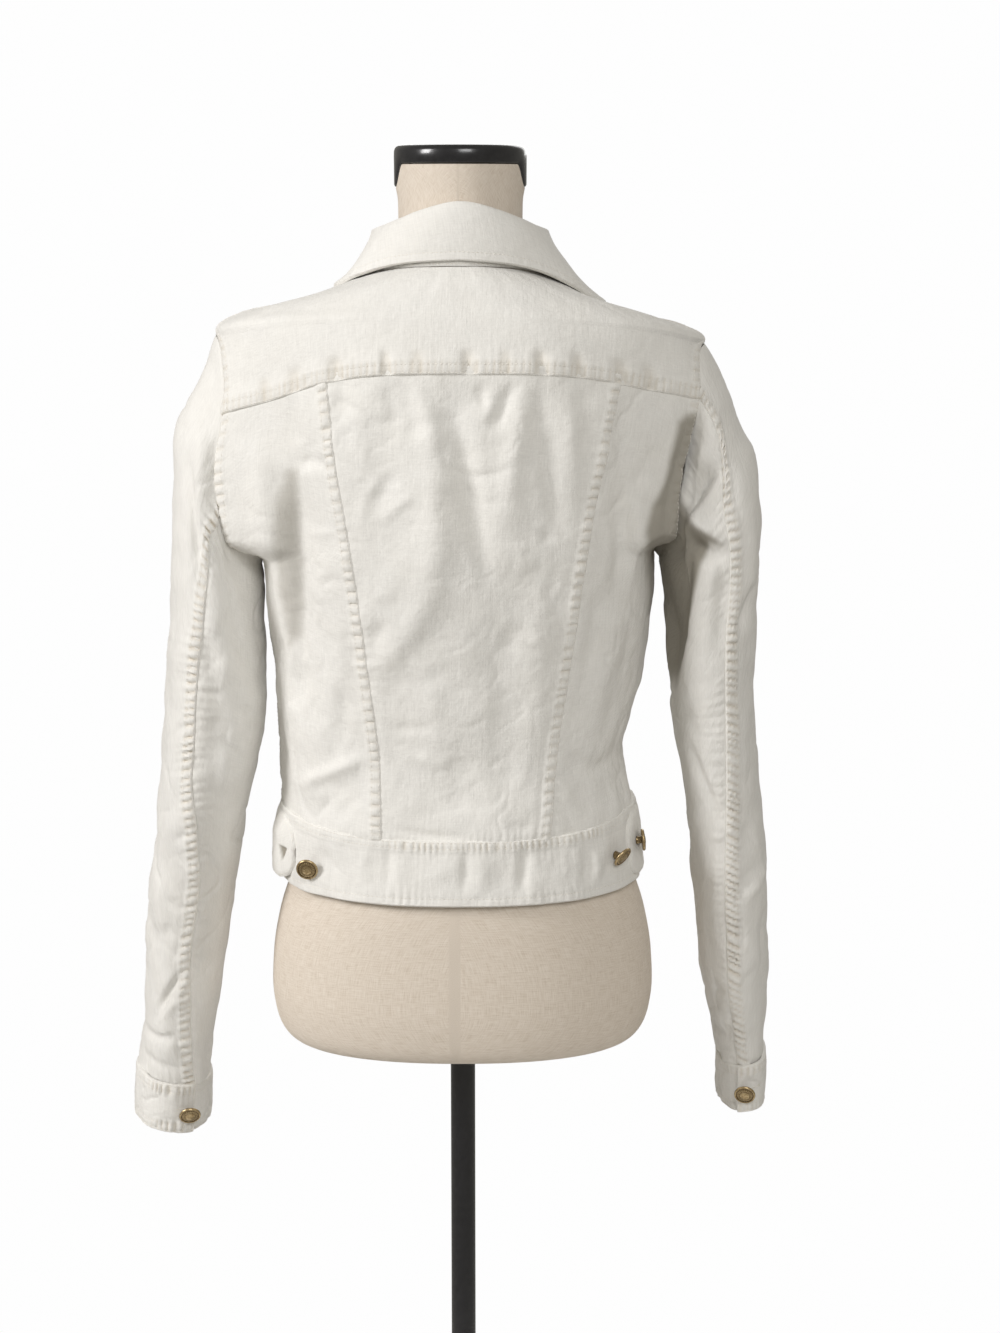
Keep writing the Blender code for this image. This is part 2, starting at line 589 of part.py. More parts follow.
PLACKET_HALF_ANGLE = 9.0
PLACKET_LEVELS = (1.02, 1.5, 2, 2.5, 3, 3.5, 4, 4.5, 5, 5.5, 6, 6.5, 7, 7.5, 8, 8.6, 9.2, 10,
                  10.8, 11.5, 11.95)  # fmt: skip
PLACKET_HALF_WIDTH = 0.017


def placket_angle(levels):
    """Half angle of a strip of constant width down the centre front."""
    levels = np.asarray(levels, float)
    ahead = body_base(levels, np.full(levels.shape, 178.0))
    per_degree = np.linalg.norm(ahead - body_base(levels, np.full(levels.shape, 180.0)), axis=-1)
    return PLACKET_HALF_WIDTH / (per_degree / 2)


def build_placket():
    panel(
        "front_placket", PLACKET_LEVELS, lambda v: 180 - placket_angle(v),
        lambda v: 180 + placket_angle(v), 4, lift=SEAM_GAP + PLACKET_CLOTH,
        cloth=PLACKET_CLOTH, trim=(False, False, False, False),
    )  # fmt: skip


def build_waistband():
    panel(
        "waistband_back", BAND_LEVELS, constant_edge(-90), constant_edge(90), BAND_COLUMNS,
        lift=BAND_LIFT, cloth=DOUBLE_CLOTH, trim=(False, True, True, True),
    )  # fmt: skip
    for name, first, last in (
        ("waistband_front_left", -90, -180 + UNDERLAP_ANGLE),
        ("waistband_front_right", 90, 180 + UNDERLAP_ANGLE),
    ):
        panel(
            name, BAND_LEVELS, constant_edge(first), constant_edge(last), FRONT_BAND_COLUMNS,
            lift=BAND_LIFT, cloth=DOUBLE_CLOTH, trim=(False, True, True, True),
        )  # fmt: skip


# ---------------------------------------------------------------- side adjuster tabs
# Angle from the centre back, lower and upper edge as levels, and lift of the tab's inner face.
TAB_COLUMNS = ("angle", "low", "high", "lift")
TAB_CLEAR = BAND_LIFT + 0.0004
TAB_LEFT = (
    (97.0, 0.10, 0.92, TAB_CLEAR),
    (90.0, 0.09, 0.93, TAB_CLEAR + 0.0006),
    (84.0, 0.08, 0.94, TAB_CLEAR + 0.0030),
    (78.0, 0.07, 0.95, TAB_CLEAR + 0.0052),
    (72.0, 0.08, 0.94, TAB_CLEAR + 0.0056),
    (67.0, 0.13, 0.88, TAB_CLEAR + 0.0044),
    (63.0, 0.24, 0.76, TAB_CLEAR + 0.0030),
    (61.0, 0.38, 0.62, TAB_CLEAR + 0.0024),
)
TAB_RIGHT = (
    (97.0, 0.10, 0.92, TAB_CLEAR),
    (91.0, 0.09, 0.93, TAB_CLEAR + 0.0004),
    (86.0, 0.08, 0.94, TAB_CLEAR + 0.0008),
    (81.0, 0.07, 0.95, TAB_CLEAR + 0.0010),
    (76.0, 0.08, 0.94, TAB_CLEAR + 0.0010),
    (71.0, 0.13, 0.88, TAB_CLEAR + 0.0008),
    (67.5, 0.24, 0.76, TAB_CLEAR + 0.0006),
    (66.0, 0.38, 0.62, TAB_CLEAR + 0.0004),
)
TAB_ROWS = 4


def build_tab(name, rows, sign):
    share = np.linspace(0, 1, TAB_ROWS + 1)[:, None]
    low = table_column(rows, TAB_COLUMNS, "low")
    high = table_column(rows, TAB_COLUMNS, "high")
    lift = table_column(rows, TAB_COLUMNS, "lift")
    angles = sign * table_column(rows, TAB_COLUMNS, "angle")
    levels = low + (high - low) * share
    angles = np.broadcast_to(angles, levels.shape)
    lifts = np.broadcast_to(lift, levels.shape)
    wall(name, body(levels, angles, lifts + TAB_CLOTH), body(levels, angles, lifts))


# ---------------------------------------------------------------- sleeves
ARMHOLE_SAMPLES = 80
ARMHOLE_REACH = 0.0503


def armhole_curve(sign, face):
    """The armhole seam on one face, from the shoulder tip to the armpit, and its running length.
    It lies a gap beyond the edge of the panels, in their own surface."""
    levels = np.linspace(SHOULDER_TIP, ARMPIT, ARMHOLE_SAMPLES)
    edge = back_edge if face == "back" else front_edge
    angles = edge(np.minimum(levels, SHOULDER_TIP - 1e-9), sign)
    points = body(levels, angles)
    length = np.concatenate([[0], np.cumsum(np.linalg.norm(np.diff(points, axis=0), axis=1))])
    beyond = np.cross(body_normal(levels, angles), np.gradient(points, axis=0))
    beyond = unit(beyond) * (sign if face == "back" else -sign)
    return points + beyond * ARMHOLE_GAP, length / length[-1]


def armhole_ring(sign, turn):
    """Points of the armhole seam by angle round the sleeve: 0 the shoulder tip, 90 the back,
    180 the armpit and 270 the front."""
    turn = np.mod(turn, 360.0)
    points = np.zeros(turn.shape + (3,))
    for face, part in (("back", turn / 180.0), ("front", (360.0 - turn) / 180.0)):
        curve, running = armhole_curve(sign, face)
        here = turn <= 180.0 if face == "back" else turn > 180.0
        for axis in range(3):
            found = np.interp(np.clip(part, 0, 1), running, curve[:, axis])
            points[..., axis] = np.where(here, found, points[..., axis])
    return points


def armhole_like(get, sign, turn):
    """The armhole seam swung about the armpit until it spans a sleeve ring's two points."""
    seam = armhole_ring(sign, turn)
    ends = armhole_ring(sign, np.array([0.0, 180.0]))
    tip, pit = (complex(sign * end[0], end[2]) for end in ends)
    outer = complex(get["outer_x"], get["outer_z"])
    inner = complex(get["inner_x"], get["inner_z"])
    swing = (outer - inner) / (tip - pit)
    swung = inner + (sign * seam[..., 0] + 1j * seam[..., 2] - pit) * swing
    reach = np.where(seam[..., 1] < 0, -get["back"], get["front"]) / ARMHOLE_REACH
    return np.stack([sign * swung.real, seam[..., 1] * reach, swung.imag], axis=-1)


def ring_points(row, sign, turn):
    """Points of one sleeve ring by angle round it."""
    get = dict(zip(SLEEVE_COLUMNS, row))
    angle = np.radians(turn)
    out = signed_power(np.cos(angle), SLEEVE_POWER)
    back = signed_power(np.sin(angle), SLEEVE_POWER)
    middle_y = (get["back"] + get["front"]) / 2
    half_y = (get["front"] - get["back"]) / 2
    x = (get["outer_x"] + get["inner_x"]) / 2 + out * (get["outer_x"] - get["inner_x"]) / 2
    z = (get["outer_z"] + get["inner_z"]) / 2 + out * (get["outer_z"] - get["inner_z"]) / 2
    y = middle_y - back * half_y
    points = np.stack([sign * x, y, z], axis=-1)
    share = get["armhole_share"]
    if share:
        points = points * (1 - share) + armhole_like(get, sign, turn) * share
    return points


class Sleeve:
    """One sleeve's surface: ring 0 is the armhole seam and the last ring the cuff seam."""

    def __init__(self, sign, rows, folds):
        self.sign = sign
        self.rows = rows
        self.folds = folds
        self.knots = np.arange(len(rows) + 1, dtype=float)
        self.cap_rows = {}

    def base(self, ring, turn):
        ring, turn = np.broadcast_arrays(np.asarray(ring, float), np.asarray(turn, float))
        stack = [armhole_ring(self.sign, turn)]
        stack += [ring_points(row, self.sign, turn) for row in self.rows]
        stack = np.stack(stack)
        at = np.clip(ring, 0, self.knots[-1])
        cell = np.clip(np.floor(at).astype(int), 0, len(self.rows) - 1)
        part = (at - cell)[..., None]

        def pick(offset):
            index = np.clip(cell + offset, 0, len(self.rows))
            return np.take_along_axis(stack, index[None, ..., None], axis=0)[0]

        before, here, after, beyond = pick(-1), pick(0), pick(1), pick(2)
        slope_here = (after - before) / 2
        slope_after = (beyond - here) / 2
        slope_here = np.where((cell == 0)[..., None], after - here, slope_here)
        slope_after = np.where((cell == len(self.rows) - 1)[..., None], after - here, slope_after)
        square, cube = part**2, part**3
        return (
            (2 * cube - 3 * square + 1) * here
            + (cube - 2 * square + part) * slope_here
            + (3 * square - 2 * cube) * after
            + (cube - square) * slope_after
        )

    def normal(self, ring, turn):
        step_ring, step_turn = 0.03, 1.5
        low = np.clip(np.asarray(ring, float) - step_ring, 0, self.knots[-1])
        high = np.clip(np.asarray(ring, float) + step_ring, 0, self.knots[-1])
        along = self.base(high, turn) - self.base(low, turn)
        around = self.base(ring, np.asarray(turn) + step_turn)
        around = around - self.base(ring, np.asarray(turn) - step_turn)
        found = np.cross(around, along) * self.sign
        # At the armhole the wall's end faces the body, so its thickness runs in the seam's plane.
        lean = ease_in_out(np.asarray(ring, float) / 0.9)
        found = unit(found)
        found[..., 0] *= np.broadcast_to(lean, found.shape[:-1])
        return unit(found)

    def at(self, ring, turn, lift=0.0):
        base = self.base(ring, turn)
        middle_y = self.middle_y(ring)
        is_back = base[..., 1] < middle_y
        fade = ease_in_out(np.broadcast_to(np.asarray(ring, float), is_back.shape) / 1.5)
        height = lift + fade * fold_height(self.folds, np.abs(base[..., 0]), base[..., 2], is_back)
        return base + self.normal(ring, turn) * np.asarray(height)[..., None]

    def column(self, name, ring):
        values = table_column(self.rows, SLEEVE_COLUMNS, name)
        return smooth_through(ring, self.knots, np.concatenate([values[:1], values]))

    def middle_y(self, ring):
        return (self.column("back", ring) + self.column("front", ring)) / 2


SLEEVE_RING_STEPS = (0, 0.5, 1.2, 2, 3, 4, 4.9, 5.7, 6.5, 7.3, 8.1, 8.9, 9.8, 10.8, 11.8, 12.9,
                     14)  # fmt: skip
UPPER_COLUMNS = 16
UNDER_COLUMNS = 14
METRES_PER_DEGREE = 0.00085
COLUMN_CROWDING = 0.28


def crowded_turns(start, end, columns):
    """Columns from start to end, closer together at the outer and inner side of the sleeve."""
    even = np.linspace(-270.0, 450.0, 1441)
    crowded = even - math.degrees(COLUMN_CROWDING) * np.sin(np.radians(2 * even))
    first = np.interp(start, crowded, even)
    last = np.interp(end, crowded, even)
    share = np.linspace(0, 1, columns + 1)
    return np.interp(first[:, None] + (last - first)[:, None] * share[None, :], even, crowded)


def sleeve_panel(name, sleeve, steps, first, last, columns):
    """A wall of a sleeve between two seams, which are angles round the sleeve by ring."""
    steps = np.array(steps, float)
    half_gap = SEAM_GAP / 2 / METRES_PER_DEGREE
    turns = crowded_turns(first(steps) + half_gap, last(steps) - half_gap, columns)
    rings = np.repeat(steps[:, None], columns + 1, axis=1)
    wall(name, sleeve.at(rings, turns), sleeve.at(rings, turns, -CLOTH))


def build_sleeves():
    for side, sign, rows, folds in (
        ("left", -1, SLEEVE_LEFT, SLEEVE_FOLDS_LEFT),
        ("right", 1, SLEEVE_RIGHT, SLEEVE_FOLDS_RIGHT),
    ):
        sleeve = Sleeve(sign, rows, folds)
        last = len(rows)
        steps = [step * last / SLEEVE_RING_STEPS[-1] for step in SLEEVE_RING_STEPS]
        sleeve_panel(
            "sleeve_upper_" + side, sleeve, steps,
            lambda r, s=sleeve: s.column("front_seam", r) - 360,
            lambda r, s=sleeve: s.column("rear_seam", r), UPPER_COLUMNS,
        )  # fmt: skip
        sleeve_panel(
            "sleeve_under_" + side, sleeve, steps,
            lambda r, s=sleeve: s.column("rear_seam", r),
            lambda r, s=sleeve: s.column("front_seam", r), UNDER_COLUMNS,
        )  # fmt: skip


# ---------------------------------------------------------------- cuffs
CUFF_COLUMNS = 26
CUFF_ROWS = 2
CUFF_LAP_TURN = 26.0
CUFF_LAP_LIFT = DOUBLE_CLOTH + 0.0004
CUFF_START = 0.012


def cuff_points(side, share, turn, lift):
    """Points of a cuff's outer face, share 0 at the sleeve seam and 1 at the hem of the cuff."""
    sign, rings, seam = CUFFS[side]
    low, high = ring_points(rings[1], sign, turn), ring_points(rings[0], sign, turn)
    points = high + (low - high) * np.asarray(share)[..., None]
    step = 2.0
    around = ring_points(rings[0], sign, turn + step) - ring_points(rings[0], sign, turn - step)
    normal = unit(np.cross(around, low - high) * sign)
    start = seam - CUFF_LAP_TURN / 2
    past = np.clip((turn - start - 300.0) / 40.0, 0, 1)
    lap = CUFF_LAP_LIFT * ease_in_out(past)
    return points + normal * (lift + lap)[..., None], normal


CUFFS = {
    "left": (-1, CUFF_RINGS, 116.0),
    "right": (1, CUFF_RINGS_RIGHT, 92.0),
}


def build_cuffs():
    for side, (_, _, seam) in CUFFS.items():
        start = seam - CUFF_LAP_TURN / 2
        turns = np.linspace(start, start + 360 + CUFF_LAP_TURN, CUFF_COLUMNS + 1)
        share = np.linspace(CUFF_START, 1, CUFF_ROWS + 1)[:, None]
        grid_turn = np.repeat(turns[None, :], CUFF_ROWS + 1, axis=0)
        grid_share = np.repeat(share, CUFF_COLUMNS + 1, axis=1)
        outer, _ = cuff_points(side, grid_share, grid_turn, 0.0)
        inner, _ = cuff_points(side, grid_share, grid_turn, -DOUBLE_CLOTH)
        wall("cuff_" + side, outer, inner)


# ---------------------------------------------------------------- collar
STAND_CLOTH = 0.0022
FALL_CLOTH = 0.0024
COLLAR_COLUMN_COUNT = 34
FALL_ROWS = 5


def fold_line(angle):
    """The line round the neck along which the collar turns over."""
    turn = np.radians(angle)
    side, ahead = np.sin(turn), -np.cos(turn)
    x = FOLD_SIDE * side
    y = np.where(ahead > 0, FOLD_FRONT, FOLD_BACK) * ahead
    middle = np.where(ahead > 0, FOLD_Z_FRONT, FOLD_Z_BACK)
    sloped = np.hypot(side, FOLD_FLAT) - FOLD_FLAT
    z = middle + (FOLD_Z_SIDE - middle) * sloped / (math.hypot(1.0, FOLD_FLAT) - FOLD_FLAT)
    return np.stack([x, y, z], axis=-1)


def outward(angle):
    turn = np.radians(angle)
    flat = np.stack([np.sin(turn), -np.cos(turn), np.zeros(np.shape(turn))], axis=-1)
    return unit(flat)


def build_collar_stand():
    angles = np.linspace(-COLLAR_END, COLLAR_END, COLLAR_COLUMN_COUNT + 1)
    low = body(np.full(angles.shape, float(NECK_SEAM)), angles)
    low = low + np.array([0, 0, 0.0004])
    high = fold_line(angles) - outward(angles) * (FALL_CLOTH + 0.0008) - np.array([0, 0, 0.0006])
    outer = np.stack([low, (low + high) / 2, high])
    inner = outer - outward(angles)[None] * STAND_CLOTH
    wall("collar_stand", outer, inner)


def collar_edge(angle):
    """The outer edge of the turned-down collar."""
    size = np.abs(angle)
    side = np.where(angle < 0, "left", "right")
    get = {name: look_up(COLLAR, COLLAR_COLUMNS, "angle", name, size) for name in COLLAR_COLUMNS}
    level = np.where(side == "left", get["edge_level_left"], get["edge_level_right"])
    return body(level, np.sign(angle) * get["edge_angle"], get["lift"], folded=False)


def collar_fall(share, angle, lift=0.0):
    """Points of the turned-down collar, share 0 at the fold and 1 at the outer edge."""
    start, end = fold_line(angle), collar_edge(angle)
    roll = look_up(COLLAR, COLLAR_COLUMNS, "angle", "roll", np.abs(angle))
    drop = look_up(COLLAR, COLLAR_COLUMNS, "angle", "drop", np.abs(angle))
    bend = start + outward(angle) * roll[..., None] - drop[..., None] * np.array([0, 0, 1.0])
    rest = 1 - share
    points = rest**2 * start + 2 * rest * share * bend + share**2 * end
    along = 2 * rest * (bend - start) + 2 * share * (end - bend)
    step = 1.0
    around = fold_line(angle + step) - fold_line(angle - step)
    around = around * rest + (collar_edge(angle + step) - collar_edge(angle - step)) * share
    normal = unit(np.cross(along, around))
    return points + normal * lift


def build_collar_fall():
    angles = np.linspace(-COLLAR_END + 1.5, COLLAR_END - 1.5, COLLAR_COLUMN_COUNT + 1)
    shares = np.linspace(0, 1, FALL_ROWS + 1)
    outer = np.stack([collar_fall(share, angles) for share in shares])
    inner = np.stack([collar_fall(share, angles, -FALL_CLOTH) for share in shares])
    wall("collar_fall", outer, inner)


# ---------------------------------------------------------------- buttons
def button_profile():
    """A shank button from its foot on the cloth to the middle of its domed face."""
    face = SHANK_HEIGHT + BUTTON_DOME
    return (
        (0, 0),
        (SHANK_RADIUS * 1.25, 0),
        (SHANK_RADIUS, SHANK_HEIGHT * 0.5),
        (SHANK_RADIUS, SHANK_HEIGHT),
        (BUTTON_RADIUS * 0.90, SHANK_HEIGHT),
        (BUTTON_RADIUS, SHANK_HEIGHT + BUTTON_DOME * 0.35),
        (BUTTON_RADIUS * 0.93, SHANK_HEIGHT + BUTTON_DOME * 0.72),
        (BUTTON_RADIUS * 0.55, face - BUTTON_DOME * 0.06),
        (0, face),
    )


def place_button(name, foot, normal):
    """Stands a button on the cloth at foot, a seam gap clear of it."""
    axis = Vector(normal).normalized()
    across = Vector((0, 0, 1)).cross(axis).normalized()
    up = axis.cross(across)
    matrix = Matrix((across, up, axis)).transposed().to_4x4()
    matrix.translation = Vector(foot) + axis * SEAM_GAP
    turned(name, button_profile(), 10, BRASS, matrix)


def body_button(name, level, angle, lift):
    foot = body(np.array(level), np.array(angle), lift)
    place_button(name, foot, body_normal(np.array(level), np.array(angle)))


FRONT_BUTTON_LEVELS = (1.55, 3.0, 4.9, 7.2, 9.6)
TAB_BUTTONS = (
    # name, level, angle, lift of the cloth that it stands on
    ("tab_button_left_rear", 0.38, -50.5, BAND_LIFT),
    ("tab_button_right_rear", 0.50, 57.0, BAND_LIFT),
    ("tab_button_right_side", 0.55, 73.0, TAB_CLEAR + 0.0010 + TAB_CLOTH),
)


def build_buttons():
    lift = SEAM_GAP + PLACKET_CLOTH
    for number, level in enumerate(FRONT_BUTTON_LEVELS):
        body_button(f"front_button_{number + 1}", level, 180.0, lift)
    body_button("waistband_button", 0.5, 180.0, BAND_LIFT)
    for name, level, angle, height in TAB_BUTTONS:
        body_button(name, level, angle, height)
    for side, (_, _, seam) in CUFFS.items():
        start = seam - CUFF_LAP_TURN / 2
        turn = np.array(start + 360 + CUFF_LAP_TURN * 0.5)
        foot, normal = cuff_points(side, np.array(0.52), turn, np.array(BUTTON_CLEAR))
        place_button("cuff_button_" + side, foot, normal)


# ---------------------------------------------------------------- dress form and stand
FORM_SIDES = 32


def ring_by_reach(z_back, z_side, z_front, half, back, front, power):
    points = []
    for number in range(FORM_SIDES):
        turn = 2 * math.pi * number / FORM_SIDES
        side, ahead = math.sin(turn), -math.cos(turn)
        depth, middle = (front, z_front) if ahead > 0 else (back, z_back)
        x = half * float(signed_power(side, power))
        y = depth * float(signed_power(ahead, power))
        points.append((x, y, middle + (z_side - middle) * abs(side) ** 3))
    return points


def build_form():
    angles = np.degrees(2 * np.pi * np.arange(FORM_SIDES) / FORM_SIDES)
    rings = [ring_by_reach(*row) for row in FORM_RINGS]
    inside = -(CLOTH + EASE)
    for level in FORM_SHOULDER_LEVELS:
        rings.append(body(np.full(angles.shape, level), angles, inside, folded=False))
    rings += [ring_by_reach(*row) for row in FORM_NECK_BASE]
    for height, half, back, front in NECK_RINGS:
        rings.append(ring_by_reach(height, height, height, half, back, front, 2.0))
    solid_of_rings("form_torso", rings, LINEN)
    cap = []
    height, half, back, front = NECK_RINGS[-1]
    for grow, rise in ((0.0, 0.0), (0.0012, 0.003), (0.0012, 0.009), (-0.003, CAP_HEIGHT)):
        z = height + SEAM_GAP + rise
        cap.append(ring_by_reach(z, z, z, half + grow, back + grow, front + grow, 2.0))
    solid_of_rings("form_neck_cap", cap, ENAMEL)


def build_stand():
    crown = BASE_CROWN + HUB_HEIGHT
    turned(
        "form_base",
        (
            (0, 0),
            (BASE_RADIUS, 0),
            (BASE_RADIUS, BASE_EDGE * 0.6),
            (BASE_RADIUS - 0.003, BASE_EDGE),
            (HUB_RADIUS * 1.25, BASE_CROWN),
            (HUB_RADIUS, BASE_CROWN + 0.004),
            (HUB_RADIUS, crown - 0.004),
            (HUB_RADIUS - 0.004, crown),
            (0, crown),
        ),
        40,
        ENAMEL,
    )
    turned(
        "form_pole",
        (
            (0, crown + SEAM_GAP),
            (POLE_RADIUS, crown + SEAM_GAP),
            (POLE_RADIUS, FORM_BOTTOM - SEAM_GAP),
            (0, FORM_BOTTOM - SEAM_GAP),
        ),
        20,
        ENAMEL,
    )


def main():
    clear_scene()
    build_back()
    build_fronts()
    build_placket()
    build_waistband()
    build_tab("side_tab_left", TAB_LEFT, -1)
    build_tab("side_tab_right", TAB_RIGHT, 1)
    build_sleeves()
    build_cuffs()
    build_collar_stand()
    build_collar_fall()
    build_buttons()
    build_form()
    build_stand()


main()
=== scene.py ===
"""Looks of a cropped white denim jacket on a limbless dress form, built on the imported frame.

Metres, +Z up, the back of the jacket towards -Y. Each cloth piece is a fine shell on the form of
its CAD solid, with its seams, puckers and creases in the mesh, its topstitching as thread and its
weave in the material. A place on the body is a level and an angle round it: 0 is the centre back,
90 the wearer's right and -90 the left. A place on a sleeve is a ring and a turn round it: 0 is the
outer side, 90 the back, 180 the armpit side and 270 the front.
"""

import math

import bpy
import numpy as np
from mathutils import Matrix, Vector


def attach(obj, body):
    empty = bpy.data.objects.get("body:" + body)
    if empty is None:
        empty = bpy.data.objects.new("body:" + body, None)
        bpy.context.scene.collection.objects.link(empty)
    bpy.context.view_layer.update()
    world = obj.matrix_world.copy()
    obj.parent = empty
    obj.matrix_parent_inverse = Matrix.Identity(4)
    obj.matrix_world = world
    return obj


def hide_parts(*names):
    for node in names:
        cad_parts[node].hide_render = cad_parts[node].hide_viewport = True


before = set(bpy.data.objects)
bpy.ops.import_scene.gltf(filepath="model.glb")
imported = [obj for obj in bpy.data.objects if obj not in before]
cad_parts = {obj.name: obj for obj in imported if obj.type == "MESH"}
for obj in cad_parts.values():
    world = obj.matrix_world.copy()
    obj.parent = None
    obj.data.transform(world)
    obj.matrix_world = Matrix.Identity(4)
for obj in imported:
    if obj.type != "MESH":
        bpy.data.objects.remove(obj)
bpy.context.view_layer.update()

# ---------------------------------------------------------------- sizes shared with the solids
CLOTH = 0.0016
DOUBLE_CLOTH = 0.0026
TAB_CLOTH = 0.0022
SEAM_GAP = 0.0003
EASE = 0.0010
ARMHOLE_GAP = 0.0008
BAND_LIFT = 0.0006
PLACKET_CLOTH = 0.0020
BUTTON_CLEAR = 0.0004
NECK_TOP = 1.4885
FORM_BOTTOM = 0.808
POLE_RADIUS = 0.0098
BASE_RADIUS = 0.160
BASE_EDGE = 0.008
BASE_CROWN = 0.012
HUB_RADIUS = 0.026
HUB_HEIGHT = 0.030

# ---------------------------------------------------------------- levels of the body surface
HEM = 0
BAND_TOP = 1
ARMPIT = 5
YOKE_SEAM = 8
SHOULDER_TIP = 9
NECK_SEAM = 12

# Rings of the jacket's outer surface. Heights are at the centre back, the sides and the centre
# front; left, right, back and front are the reach from the axis; wing is the extra cloth between
# the body's side and the armhole seam, and rise is how much higher a ring is on the right.
BODY_COLUMNS = (
    "z_back", "z_side", "z_front", "left", "right", "back", "front",
    "wing_left", "wing_right", "power", "rise_right",
)  # fmt: skip
BODY_RINGS = (
    (0.9405, 0.9420, 0.9450, 0.1420, 0.1400, 0.1060, 0.1020, 0.000, 0.000, 2.3, 0.0000),  # hem
    (0.9880, 1.0000, 0.9950, 0.1415, 0.1345, 0.0965, 0.0960, 0.000, 0.000, 2.3, 0.0000),  # band top
    (1.0400, 1.0420, 1.0420, 0.1420, 0.1255, 0.0890, 0.0930, 0.000, 0.000, 2.3, 0.0000),  # waist
    (1.1100, 1.1080, 1.1100, 0.1455, 0.1400, 0.0930, 0.1060, 0.000, 0.000, 2.3, 0.0000),  # ribs
    (1.1600, 1.1520, 1.1600, 0.1490, 0.1460, 0.1010, 0.1210, 0.000, 0.000, 2.3, 0.0000),  # bust
    (1.2050, 1.1900, 1.2020, 0.1520, 0.1490, 0.1065, 0.1240, 0.000, 0.000, 2.3, 0.0060),  # armpit
    (1.2260, 1.2060, 1.2240, 0.1540, 0.1520, 0.1080, 0.1210, 0.032, 0.022, 2.3, 0.0040),  # underarm fold
    (1.2750, 1.2470, 1.2680, 0.1600, 0.1600, 0.1100, 0.1100, 0.036, 0.027, 2.2, 0.0060),  # mid armhole
    (1.3400, 1.2940, 1.3150, 0.1700, 0.1720, 0.1060, 0.0920, 0.020, 0.020, 2.2, 0.0160),  # yoke seam
    (1.3780, 1.3640, 1.3450, 0.1860, 0.1850, 0.0940, 0.0740, 0.000, 0.000, 2.1, -0.0070),  # shoulder tip
    (1.3885, 1.3780, 1.3540, 0.1680, 0.1680, 0.0880, 0.0690, 0.000, 0.000, 2.0, -0.0095),  # shoulder round
    (1.4050, 1.3885, 1.3655, 0.1200, 0.1200, 0.0790, 0.0620, 0.000, 0.000, 2.0, -0.0095),  # mid shoulder
    (1.4145, 1.4070, 1.3760, 0.0720, 0.0720, 0.0660, 0.0520, 0.000, 0.000, 2.0, -0.0030),  # neck seam
)
WING_FROM = 46.0
WING_TO = 66.0

# Angle of the armhole seam by level, counted from the centre of the back or front.
ARMHOLE_COLUMNS = ("level", "back", "front")
ARMHOLE = (
    (5.00, 90.0, 90.0),
    (5.40, 80.0, 80.0),
    (6.00, 69.0, 71.0),
    (7.00, 65.0, 65.0),
    (8.00, 65.0, 66.0),
    (8.50, 69.0, 70.0),
    (8.80, 75.0, 76.0),
    (8.95, 82.0, 82.0),
    (9.00, 90.0, 90.0),
)

# Distance of the two back princess seams from the centre line.
PRINCESS_COLUMNS = ("level", "left", "right")
PRINCESS = (
    (1.0, 0.0628, 0.0652),
    (2.0, 0.0640, 0.0690),
    (3.0, 0.0712, 0.0785),
    (4.0, 0.0772, 0.0850),
    (5.0, 0.0830, 0.0910),
    (6.0, 0.0862, 0.0940),
    (7.0, 0.0930, 0.1035),
    (8.0, 0.1000, 0.1170),
)

# Rings of each sleeve below the armhole, seen from behind: the outer and the inner point, how far
# the ring reaches back and forward, how much of the armhole's own shape it keeps, and the angle
# round it of the rear seam.
SLEEVE_COLUMNS = (
    "outer_x", "outer_z", "inner_x", "inner_z", "back", "front", "armhole_share",
    "rear_seam",
)  # fmt: skip
SLEEVE_LEFT = (
    (0.1967, 1.3364, 0.1545, 1.1862, -0.052, 0.051, 0.94, 116),
    (0.2096, 1.3082, 0.1550, 1.1826, -0.055, 0.053, 0.82, 110),
    (0.2193, 1.2852, 0.1550, 1.1775, -0.057, 0.054, 0.66, 102),
    (0.2222, 1.2500, 0.1545, 1.1670, -0.059, 0.055, 0.46, 94),
    (0.2238, 1.2040, 0.1538, 1.1490, -0.060, 0.055, 0.24, 88),
    (0.2256, 1.1600, 0.1530, 1.1230, -0.060, 0.055, 0.08, 83),
    (0.2310, 1.0940, 0.1520, 1.0790, -0.060, 0.053, 0.00, 78),
    (0.2355, 1.0380, 0.1582, 1.0390, -0.059, 0.050, 0.00, 79),
    (0.2418, 0.9772, 0.1730, 0.9800, -0.053, 0.052, 0.00, 96),
    (0.2467, 0.9396, 0.1790, 0.9405, -0.049, 0.052, 0.00, 105),
    (0.2504, 0.8911, 0.1860, 0.8930, -0.044, 0.051, 0.00, 102),
    (0.2532, 0.8454, 0.1955, 0.8430, -0.041, 0.050, 0.00, 111),
    (0.2575, 0.8080, 0.2005, 0.8040, -0.040, 0.047, 0.00, 120),
    (0.2605, 0.7832, 0.2036, 0.7702, -0.0395, 0.0455, 0.00, 130),
)
